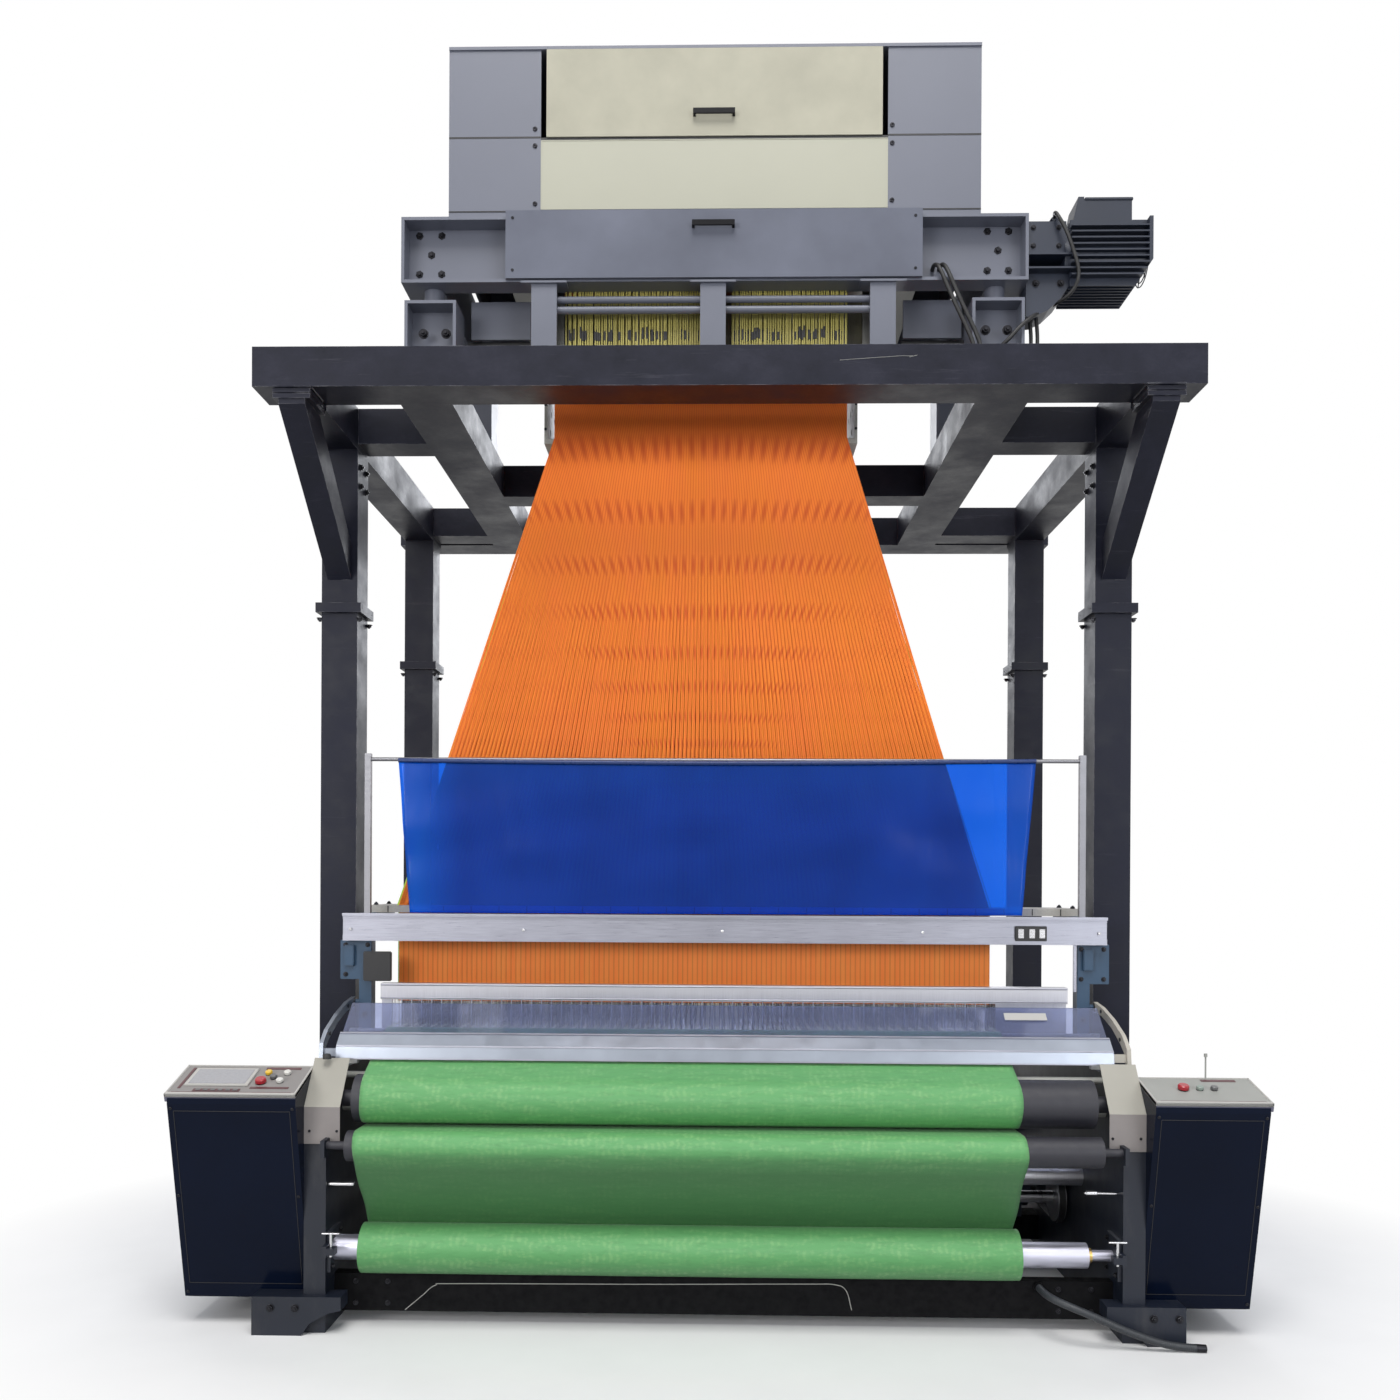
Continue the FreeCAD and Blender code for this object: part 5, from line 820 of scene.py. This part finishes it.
def harness():
    """Cords from the guide board to the comber board, in bundles, eight rows deep."""
    cords, lime = Shape(), Shape()
    for row, y_low in enumerate(ROW_Y):
        y_high = -0.47 + 0.02 * row
        for i, low in enumerate(COLUMNS):
            high = -0.697 + 1.194 * (i + 0.5) / len(COLUMNS)
            lean = (row % 4 - 1.5) * 0.0021
            for k in (-1, 0, 1):
                slip = chance.uniform(-0.0007, 0.0007)
                start = (low + 0.0052 * k + lean + slip, y_low - 0.003 * (k == 0), COMBER_TOP)
                end = (high + 0.0028 * k + lean, y_high - 0.002 * (k == 0), GUIDE_LOW)
                cords.strand(start, end, 0.0031)
                if k:
                    cords.strand((end[0], y_high, GUIDE_TOP), (end[0], y_high, HEAD_LOW), 0.0022)
                if row == 0:
                    front = (high + 0.0033 * k, -0.5645, 3.462)
                    cords.strand((start[0], y_low - 0.004, COMBER_TOP), front, 0.0027)
                    cords.strand(front, (front[0], -0.563, HEAD_LOW), 0.0024)
    for k in range(8):
        low = (-1.337 - 0.005 * k, -0.55 + 0.028 * k, COMBER_TOP)
        lime.strand(low, (-0.699 - 0.0035 * k, -0.49 + 0.02 * k, GUIDE_LOW), 0.0028)
    for k in range(3):
        low = (1.1 + 0.003 * k, -0.53 + 0.05 * k, COMBER_TOP)
        lime.strand(low, (0.501, -0.48 + 0.03 * k, GUIDE_LOW), 0.0016)
    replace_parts(cords.done("harness_cords", ORANGE, slot="harness_cord"), "harness_fan")
    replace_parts(lime.done("harness_cords_edge", LIME, slot="harness_cord"), "harness_fan")


def heddles():
    """Cord ends, wire heddles with eyes at the warp, and return springs below."""
    cord, wire, spring = Shape(), Shape(), Shape()
    for row, y in enumerate(ROW_Y):
        for x in COLUMNS:
            for k in (-2, -1, 0, 1, 2) if row in (0, 7) else (-1, 0, 1):
                end = (x + 0.0041 * k, y - 0.002 * (k == 0), COMBER_LOW)
                cord.strand((x + 0.004 * k, y, HEDDLE_TOP), end, 0.0025)
            wire.strand((x, y, SPRING_TOP), (x, y, HEDDLE_TOP), 0.0011)
            if row % 2 == 0:
                wire.turned((x, y - 0.0012, 1.0665), (0, 1, 0), [(0, 0.003), (0.0024, 0.003)], 6)
            spring.strand((x, y, SPRING_FOOT), (x, y, SPRING_TOP), 0.0035)
    edge = Shape()
    for k in range(6):
        x, y = -1.337 - 0.003 * k, -0.53 + 0.036 * k
        edge.strand((x, y, HEDDLE_TOP), (x, y, COMBER_LOW), 0.0024)
    pieces = [cord.done("cord_ends", CORD_ENDS, slot="harness_cord"),
              edge.done("cord_ends_edge", LIME, slot="harness_cord"),
              wire.done("heddle_wires", REED, slot="heddle_wire"),
              spring.done("return_springs", OILED, slot="heddle_wire")]
    for piece in pieces:
        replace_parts(piece, "heddles")


def boards():
    boxes("comber_joints", DARK,
          *(((i * 0.115 - 0.002, -0.5415, COMBER_LOW + 0.002), (i * 0.115 + 0.002, -0.5395, COMBER_TOP - 0.002), 0)
            for i in range(-12, 13)))
    bolts = Shape()
    bolts.bolts([(x, y, COMBER_TOP) for x in (-1.44, 1.44) for y in (-0.5, -0.3)], UP, 0.009)
    bolts.screws([(x, -0.5605, z) for x in (-0.735, 0.534) for z in (3.5, 3.6, 3.7, 3.8, 3.9)], FRONT, 0.006)
    bolts.done("board_bolts", BOLT)


# --- warp and cloth
def strap_line(circles, steps=14):
    """Points of a strap over circles (y, z, radius, turn), with turn 1 anticlockwise from +X."""
    ways = []
    for (y1, z1, r1, s1), (y2, z2, r2, s2) in zip(circles, circles[1:]):
        lean = asin((s2 * r2 - s1 * r1) / hypot(y2 - y1, z2 - z1))
        ways.append(atan2(z2 - z1, y2 - y1) - lean)

    def meet(circle, way):
        y, z, radius, turn = circle
        return (y + turn * radius * sin(way), z - turn * radius * cos(way))

    line, free = [], []
    for i, way in enumerate(ways):
        start, end = meet(circles[i], way), meet(circles[i + 1], way)
        parts = max(2, int(dist(start, end) / 0.02))
        for k in range(parts):
            t = k / parts
            line.append((start[0] + (end[0] - start[0]) * t, start[1] + (end[1] - start[1]) * t))
            free.append(sin(pi * t))
        if i + 1 < len(ways):
            turn = circles[i + 1][3]
            sweep = (turn * (ways[i + 1] - way)) % (2 * pi)
            for k in range(steps):
                line.append(meet(circles[i + 1], way + turn * sweep * k / steps))
                free.append(0.0)
        else:
            line.append(end)
            free.append(0.0)
    return line, free


CLOTH_PATH = [
    (-0.7562, 1.066, 0, 1), (-0.79, 1.0551, 0.0109, 1), (-1.064, 0.841, 0.0889, 1),
    (-0.9331, 0.7913, 0.0509, -1), (-1.181, 0.69, 0.0559, 1), (-1.071, 0.291, 0.0929, -1),
]


def wheel(shape, x, centre, sides, radius):
    """Points round an X axis, at a radius that may follow the angle."""
    y, z = centre
    for i in range(sides):
        a = tau * i / sides
        r = radius(a)
        shape.verts.append((x, y + r * cos(a), z + r * sin(a)))


def cloth():
    line, free = strap_line(CLOTH_PATH)
    left, wide = -1.32, 2.4
    columns = 140
    rows = []
    for (y, z), slack in zip(line, free):
        row = []
        for c in range(columns + 1):
            x = left + wide * c / columns
            pull = sin(x * 9 + y * 5) * 0.5 + sin(x * 23 - z * 11) * 0.3 + sin(x * 51 + z * 7) * 0.2
            edge = 0.0022 * sin(z * 31) * (abs(c - columns / 2) / (columns / 2)) ** 12
            row.append((x + edge, y - 0.0022 * slack * pull, z))
        rows.append(row)
    sheet = sheet_of("woven_cloth", rows, CLOTH, 0.0012)
    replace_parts(sheet, "cloth_sheet")

    shape = Shape()
    sides, rings = 96, 60
    centre, core, layer = (-1.071, 0.291), 0.047, 0.0032
    for k in range(rings + 1):
        x = left + wide * k / rings
        wheel(shape, x, centre, sides,
              lambda a: 0.0917 - 0.0005 * abs(sin(x * 7.3 + 2 * a)) - 0.0006 * (k in (0, rings)))
    shape.skin(0, rings + 1, sides, caps=False)
    for x, way in ((left, -1), (left + wide, 1)):
        for turn in range(14):
            inner, lift = core + layer * turn, 0.0008 + 0.0009 * (turn % 3)
            outer = min(core + layer * (turn + 1) - 0.0006, 0.0912)
            base = len(shape.verts)
            for along, r in ((0.0, inner), (lift, inner), (lift, outer), (0.0, outer)):
                wheel(shape, x + way * along, centre, 72, lambda a: r)
            shape.skin(base, 4, 72, caps=False)
    roll = shape.done("cloth_roll_turns", CLOTH, "cloth_roll", smooth=True, slot="cloth_green")
    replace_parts(roll, "cloth_winding")


WARP_PATH = [(-0.756, 1.066, 0, 1), (1.05, 0.9852, 0.0808, -1), (0.83, 0.56, 0.3008, -1)]


def warp():
    line, _ = strap_line(WARP_PATH, 20)
    shape = Shape()
    for x in across(-0.0148, -0.0062, -0.0021, 0.0021, 0.0062, 0.0148):
        base = len(shape.verts)
        shape.verts += [(x + half, y, z) for y, z in line for half in (-0.0014, 0.0014)]
        shape.faces += [(base + 2 * k, base + 2 * k + 1, base + 2 * k + 3, base + 2 * k + 2)
                        for k in range(len(line) - 1)]
    threads = shape.done("warp_threads", WARP, smooth=True, slot="warp_yarn")
    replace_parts(threads, "warp_sheet")

    wound = Shape()
    sides, rings = 72, 324
    for k in range(rings + 1):
        x = -1.3345 + 2.429 * k / rings
        r = 0.2985 + 0.0011 * cos(k * pi) * (0 < k < rings)
        wheel(wound, x, (0.83, 0.56), sides, lambda a: r)
    wound.skin(0, rings + 1, sides)
    roll = wound.done("warp_turns", WARP, "beam", smooth=True, slot="warp_yarn")
    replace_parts(roll, "warp_winding")


def reed_wires():
    shape = Shape()
    for x in across(-0.0178, -0.0117, -0.007, 0, 0.007, 0.0117, 0.0178):
        shape.block((x - 0.0004, -0.644, 1.037), (x + 0.0004, -0.636, 1.167), 0)
    shape.done("reed_dents", REED, "sley", slot="reed_steel")
    cap = Shape()
    for z in (1.1745, 1.2265):
        cap.rod((-1.374, -0.6652, z), (1.374, -0.6652, z), 0.0028, 8)
    cap.done("reed_cap_beads", ALU, "sley", smooth=True)


# --- film
FILM_CORNERS = (-1.31, 2.129), (1.248, 2.133), (-1.262, 1.517), (1.196, 1.52)  # two on top, two below


def between(a, b, share):
    return a * (1 - share) + b * share


def film():
    """Soft blue film hung from its rod, with folds from its upper corners."""
    columns, rows = 160, 44
    fold, sag = 0.0042, 0.01
    points = []
    for r in range(rows + 1):
        t = r / rows
        row = []
        for column in range(columns + 1):
            s = column / columns
            x, z = (between(between(a, b, s), between(c, d, s), t) for a, b, c, d in zip(*FILM_CORNERS))
            fade = sin(pi * min(1, 0.08 + 0.92 * t))
            wave = (sin(9 * s + 4 * t) + 0.6 * sin(23 * s - 7 * t) + 0.5 * sin(41 * s * (1 - 0.25 * t))
                    + 0.7 * sin(13 * (s - t)) + 0.5 * sin(17 * (s + t)))
            y = -0.652 - fold * fade * wave - sag * sin(pi * t) * sin(pi * s)
            z -= sag * sin(pi * s) * (1 - t)
            row.append((x, y, z))
        points.append(row)
    sheet = sheet_of("blue_film", points, FILM, 0.0006)
    hem = Shape()
    hem.tube([(x, y, z + 0.003) for x, y, z in points[0]], 0.0095, 10)
    top = hem.done("film_hem", FILM_DARK, smooth=True, slot="film_blue")
    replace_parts(sheet, "film")


# --- comber rail and hood
def rail():
    """Folded edges, socket window, plates and bolts of the comber rail and its brackets."""
    boxes("rail_edges", ALU, ((-1.531, -0.6725, 1.506), (1.531, -0.655, 1.5145), 0.0015),
          ((-1.531, -0.6645, 1.4035), (1.531, -0.6605, 1.4085), 0.0008),
          ((-1.531, -0.6638, 1.493), (1.531, -0.6605, 1.4965), 0.0008))
    boxes("rail_window", DARK, ((1.166, -0.6655, 1.418), (1.292, -0.6605, 1.478), 0.002),
          ((-1.45, -0.655, 1.24), (-1.335, -0.64, 1.36), 0.004))
    inset = Shape()
    for x in (1.178, 1.222, 1.262):
        inset.block((x, -0.6672, 1.43), (x + 0.022, -0.665, 1.466), 0.001)
    inset.screws([(x, -0.6612, 1.45) for x in (-1.5, -0.8, 0.0, 0.8, 1.5)], FRONT, 0.006)
    inset.done("rail_window_parts", CHROME)
    boxes("rail_plates", TEAL, *(plate for low, high in ((-1.552, -1.425), (1.425, 1.552)) for plate in (
        ((low, -0.622, 1.245), (high, -0.612, 1.404), 0.002),
        ((low + 0.02, -0.64, 1.3), (low + 0.06, -0.612, 1.385), 0.003))))
    corners = [(side * 1.485 + dx, -0.6225, z) for side in (-1, 1) for dx in (-0.045, 0.045) for z in (1.265, 1.385)]
    bolted("rail_bolts", (corners, FRONT, 0.0075), ([(x, -0.6225, 1.1) for x in (-1.45, 1.45)], FRONT, 0.009))
    boxes("guard_bar", ALU, ((1.405, -0.64, 1.215), (1.417, -0.628, 1.404)))


def hood():
    """Trims along the glass and the rail, a bare patch on the glass, and the pivots' caps."""
    trim = Shape()
    for outline, bevel in (
            ([(-0.9532, 1.0722), (-0.959, 1.0672), (-0.956, 1.064), (-0.9502, 1.069)], 0.0006),
            ([(-1.0035, 1.029), (-1.0058, 1.023), (-1.002, 1.0215), (-1.0000, 1.027)], 0.0005),
            ([(-1.012, 0.9815), (-1.0124, 0.9765), (-1.008, 0.976), (-1.0078, 0.981)], 0.0005)):
        trim.pulled(outline, -1.449, 1.449, bevel)
    trim.done("hood_trim", ALU, "hood")
    patch = Shape()
    slope, out = Vector((0, 0.121, 0.101)).normalized(), Vector((0, -0.101, 0.121)).normalized()
    place = tilted(Vector((0, -0.951, 1.069)) + out * 0.0062, slope, out)
    patch.block((1.075, 0.085, 0), (1.235, 0.122, 0.0004), 0, place)
    patch.done("glass_label_patch", BEZEL, "hood")
    knobs = Shape()
    for side in (-1, 1):
        face = side * 1.4935
        knobs.turned((face, -0.6, 1.15), (side, 0, 0), [(0, 0.021), (0.008, 0.021), (0.012, 0.014)], 24)
        knobs.bolts([(face, y, z) for y, z in ((-0.7, 1.144), (-0.93, 1.062))], (side, 0, 0), 0.006)
    knobs.done("hood_pivots", BOLT, "hood")


# --- consoles
CONSOLE_BUTTONS = {
    -1: [(-1.673, 0.4, 0.021), (-1.666, 0.7, 0.014), (-1.606, 0.43, 0.014), (-1.597, 0.7, 0.014),
         (-1.638, 0.56, 0.014)],
    1: [(1.654, 0.52, 0.021), (1.713, 0.52, 0.014), (1.764, 0.52, 0.014)],
}


def on_console(side, x, share):
    """A point on a console plate, by its share from nose to rear, with the ways along and out."""
    nose, rear = Vector((0, *CONSOLE_NOSE)), Vector((0, *CONSOLE_REAR[side]))
    along = (rear - nose).normalized()
    out = Vector((0, -along.z, along.y))
    return Vector((x, 0, 0)) + nose + (rear - nose) * share + out * 0.012, along, out


def console_block(shape, side, x0, x1, share0, share1, lift0, lift1, bevel):
    long = dist(CONSOLE_NOSE, CONSOLE_REAR[side])
    shape.block((x0, share0 * long, lift0), (x1, share1 * long, lift1), bevel, tilted(*on_console(side, 0, 0)))


def consoles():
    """Rims, lips, screen, blank keys and strips, and a collar round each button."""
    rims, screen, glossy, keys, collars, lips, edging = (Shape() for _ in range(7))
    left = [(rims, -1.945, -1.712, 0.27, 0.86, 0.0, 0.006, 0.002),
            (screen, -1.932, -1.725, 0.32, 0.81, 0.006, 0.0068, 0.0003)]
    left += [(keys, *spot, 0.0, 0.0015, 0.0005) for spot in (
        (-1.9, -1.73, 0.1, 0.19), (-1.69, -1.56, 0.86, 0.93), (-1.962, -1.951, 0.2, 0.9),
        (-1.7, -1.56, 0.2, 0.26))]
    right = [(keys, 1.745, 1.87, 0.84, 0.92, 0.0, 0.0015, 0.0005)]
    for side, low, high, more in ((-1, -1.992, -1.52, left), (1, 1.52, 1.93, right)):
        for shape, *form in (
                (rims, low, high, 0.0, 0.06, -0.012, 0.0026, 0.0015),
                (lips, low, high, -0.004, 0.004, -0.03, -0.012, 0.001),
                (edging, low + 0.02, high - 0.02, 0.062, 0.085, 0.0, 0.0012, 0.0005),
                (rims, low, high, 0.965, 1.0, -0.012, 0.0022, 0.0015),
                (rims, low, low + 0.008, 0.0, 1.0, -0.012, 0.0022, 0.0015),
                (rims, high - 0.008, high, 0.0, 1.0, -0.012, 0.0022, 0.0015), *more):
            console_block(shape, side, *form)
    for k in range(6):
        x = -1.89 + 0.027 * k
        console_block(glossy, -1, x, x + 0.018, 0.115, 0.175, 0.0015, 0.0032, 0.0006)
    for side, buttons in CONSOLE_BUTTONS.items():
        for x, share, radius in buttons:
            collar(collars, *on_console(side, x, share), 0.0097, radius * 0.82, 0.0006)
    for name, shape, finish in (
            ("console_rims", rims, BEZEL), ("console_lips", lips, LIP), ("console_edging", edging, MAROON),
            ("touch_screen", screen, SCREEN), ("key_strips", keys, MAROON), ("keys", glossy, GREY),
            ("button_collars", collars, BOLT)):
        shape.done(name, finish)
    knob = Shape()
    knob.turned((-1.466, -1.058, 0.9838), UP, [(0, 0.016), (0.01, 0.016), (0.018, 0.012), (0.02, 0.004)])
    knob.done("cover_knob", RUBBER, smooth=True)


def collar(shape, seat, along, out, inner, outer, lift):
    """A thin ring round a button's bore."""
    base = len(shape.verts)
    for height, radius in ((0, inner), (lift, inner), (lift, outer), (0, outer)):
        shape.loop(seat + out * height, along, along.cross(out), radius, 28)
    shape.skin(base, 4, 28, caps=False)


def cabinets():
    """Seams, screws, louvres and a lock on each cabinet, and its base edge."""
    seams, screws, base = Shape(), Shape(), Shape()
    foot, nose = (-1.082, 0.106), (-1.245, 0.846)
    lean = (nose[0] - foot[0]) / (nose[1] - foot[1])

    def front(z):
        return foot[0] + lean * (z - foot[1])

    for side, low, high in ((-1, -1.982, -1.52), (1, 1.52, 1.92)):
        left, right = low + 0.022, high - 0.022
        for x in (left, right):
            seams.tube([(x, front(z) - 0.0004, z) for z in (0.16, 0.82)], 0.0014, 4)
        for z in (0.16, 0.82):
            seams.tube([(x, front(z) - 0.0004, z) for x in (left, right)], 0.0014, 4)
        for z in (0.125, 0.5, 0.83):
            screws.screws([(x, front(z), z) for x in (low + 0.012, high - 0.012)], (0, -0.976, -0.215), 0.006)
        outer = low if side < 0 else high
        for z in (0.3 + 0.03 * k for k in range(7)):
            seams.block((outer - 0.0012, -0.95, z), (outer + 0.0012, -0.75, z + 0.012), 0.0004)
        screws.turned((outer, -0.7, 0.62), (side, 0, 0), [(0, 0.014), (0.006, 0.014), (0.008, 0.011)], 20)
        base.block((low + 0.01, -1.079, 0.104), (high - 0.01, -0.6, 0.1065), 0.0005)
    seams.done("cabinet_seams", DARK)
    screws.done("cabinet_screws", BOLT)
    base.done("cabinet_base_edge", BLACK)


# --- loom front
def loom_front():
    caps, bolts, rods, line = Shape(), Shape(), Shape(), Shape()
    bearings = ((-1.064, 0.841, 0.052), (-0.9331, 0.7913, 0.04), (-0.63, 0.48, 0.065),
                (-0.38, 0.33, 0.048), (0.83, 0.56, 0.062), (1.05, 0.9852, 0.045))
    for side in (-1, 1):
        face = side * 1.5202
        for y, z, r in bearings:
            caps.turned((face, y, z), (side, 0, 0), [(0, r), (0.01, r), (0.014, r * 0.85), (0.015, 0.01)], 40)
            bolts.bolts([(face + side * 0.01, y + r * 0.78 * cos(a), z + r * 0.78 * sin(a))
                         for a in (0.6, 2.7, 4.8)], (side, 0, 0), 0.005, washer=False, stud=False)
        spots = [(side * 1.4245, y, z) for z in (0.345, 0.236) for y in (-1.12, -1.022)]
        bolts.bolts(spots, (-side, 0, 0), 0.008)
        bolts.bolts([(side * x, -1.1805, 0.1) for x in (1.54, 1.63)], FRONT, 0.011)
        bolts.screws([(side * x, -1.1515, 0.735) for x in (1.5, 1.4)], FRONT, 0.005)
    rods.rod((1.306, -1.15, 0.539), (1.3445, -1.15, 0.539), 0.008)
    rods.rod((-1.439, -1.12, 0.536), (-1.345, -1.12, 0.536), 0.008)
    rods.rod((1.3, -1.15, 0.539), (1.44, -1.12, 0.53), 0.0045)
    edge = ((-1.175, 0.05), (-1.11, 0.105), (-1.062, 0.143), (-0.98, 0.15), (-0.3, 0.156), (0.3, 0.164),
            (0.42, 0.163), (0.462, 0.14), (0.482, 0.07))
    line.cable([(x, -1.0412, z) for x, z in edge], 0.0016, 6, 6)
    for side in (-1, 1):
        bolts.bolts([(side * x, -1.0405, z) for x in (1.36, 1.24) for z in (0.075, 0.155)], FRONT, 0.008)
    caps.done("bearing_caps", FRAME_NAVY, smooth=True)
    bolts.done("frame_bolts", BOLT)
    rods.done("front_rods", CHROME, smooth=True)
    line.done("panel_edge_line", BEZEL)
    brass = Shape()
    bush = [(0, 0.0202), (0.002, 0.027), (0.016, 0.027), (0.018, 0.0203)]
    brass.turned((1.3315, -1.071, 0.291), (1, 0, 0), bush, 32)
    brass.done("core_bush", BRASS, "cloth_roll", smooth=True)


# --- hose
HOSE = [
    (1.166, -1.056, 0.166), (1.166, -1.119, 0.166), (1.192, -1.172, 0.16), (1.238, -1.207, 0.148),
    (1.296, -1.221, 0.128), (1.355, -1.222, 0.102), (1.415, -1.222, 0.076), (1.478, -1.222, 0.052),
    (1.542, -1.222, 0.031), (1.607, -1.222, 0.018), (1.673, -1.222, 0.0145),
]


def hose():
    data = bpy.data.curves.new("hose_line", "CURVE")
    data.dimensions = "3D"
    spline = data.splines.new("NURBS")
    spline.points.add(len(HOSE) - 1)
    for point, place in zip(spline.points, HOSE):
        point.co = (*place, 1)
    spline.order_u = 3
    spline.use_endpoint_u = True
    spline.resolution_u = 24
    guide = bpy.data.objects.new("hose_line", data)
    scene.collection.objects.link(guide)
    path = [v.co.copy() for v in bpy.data.meshes.new_from_object(guide).vertices]
    bpy.data.objects.remove(guide)
    fine = [path[0]]
    for a, b in zip(path, path[1:]):
        parts = max(1, round((b - a).length / 0.0016))
        fine += [a.lerp(b, (k + 1) / parts) for k in range(parts)]
    shape = Shape()
    shape.tube(fine, 0.0135, 14, swell=lambda s: 0.0129 + 0.0011 * abs(sin(pi * s / 0.0075)))
    pipe = shape.done("hose", GREY_HOSE, smooth=True, slot="hose_grey")
    pipe.name = "ribbed_hose"
    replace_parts(pipe, "hose")


# --- room
def room():
    """A pale floor that keeps the shadow near the loom and fades to white, under soft lamps."""
    mesh = bpy.data.meshes.new("floor")
    mesh.from_pydata([(-60, -60, 0), (60, -60, 0), (60, 60, 0), (-60, 60, 0)], [], [(0, 1, 2, 3)])
    plane = bpy.data.objects.new("floor", mesh)
    plane.location.z = -0.0005
    scene.collection.objects.link(plane)
    look = Finish("floor", 0.75)
    pale = look.ramp(look.noise(3, 4), (0.3, (0.9, 0.9, 0.9)), (0.7, (0.93, 0.93, 0.93)))
    seen = look.seen()
    look.colour(look.mix(seen, (0.3, 0.3, 0.31), pale))
    away = look.add("VectorMath", {0: look.place, 1: (1 / 2.6, 1 / 1.9, 1)}, operation="MULTIPLY").outputs["Vector"]
    far = look.add("VectorMath", {0: away}, operation="LENGTH").outputs["Value"]
    white = (1, 1, 1, 1)
    share = look.times(look.spread(far, 0, 1, 0.95, 1.35), seen)
    look.surface(share, look.shader, look.add("Emission", {"Color": white}))
    mesh.materials.append(look.material)

    world = bpy.data.worlds.new("studio")
    scene.world = world
    world.use_nodes = True
    sky = Tree(world.node_tree)
    soft = sky.nodes["Background"]
    soft.inputs["Color"].default_value = (0.86, 0.9, 1.0, 1)
    soft.inputs["Strength"].default_value = 0.34
    sky.surface(sky.seen(), soft, sky.add("Background", {"Color": white, "Strength": 1.0}))

    lamps = (
        ("top", (0, -7.0, 13.0), (0, -0.6, 1.6), 7.0, 1150, (1.0, 0.99, 0.97)),
        ("key", (-6.5, -10.0, 4.0), (0, -0.5, 1.9), 4.0, 400, (1.0, 0.99, 0.98)),
        ("fill", (6.0, -9.5, 3.4), (0, -0.5, 1.9), 4.0, 235, (0.93, 0.96, 1.0)),
        ("rear", (1.0, 7.5, 5.5), (0, 0.5, 2.2), 4.0, 220, (0.9, 0.93, 1.0)),
    )
    for name, place, aim, wide, power, colour in lamps:
        data = bpy.data.lights.new(name, "AREA")
        data.shape = "SQUARE"
        data.size = wide
        data.energy = power
        data.color = colour
        lamp = bpy.data.objects.new(name, data)
        lamp.location = place
        lamp.rotation_euler = (Vector(aim) - Vector(place)).to_track_quat("-Z", "Y").to_euler()
        scene.collection.objects.link(lamp)
    scene.view_settings.view_transform = "Standard"


for build in (hose, gantry, jacquard, jacquard_sides, beam_scratches, lifting_hooks, jacquard_motor, harness,
              heddles, boards, cloth, warp, reed_wires, film, rail, hood, consoles, cabinets, loom_front, room):
    build()
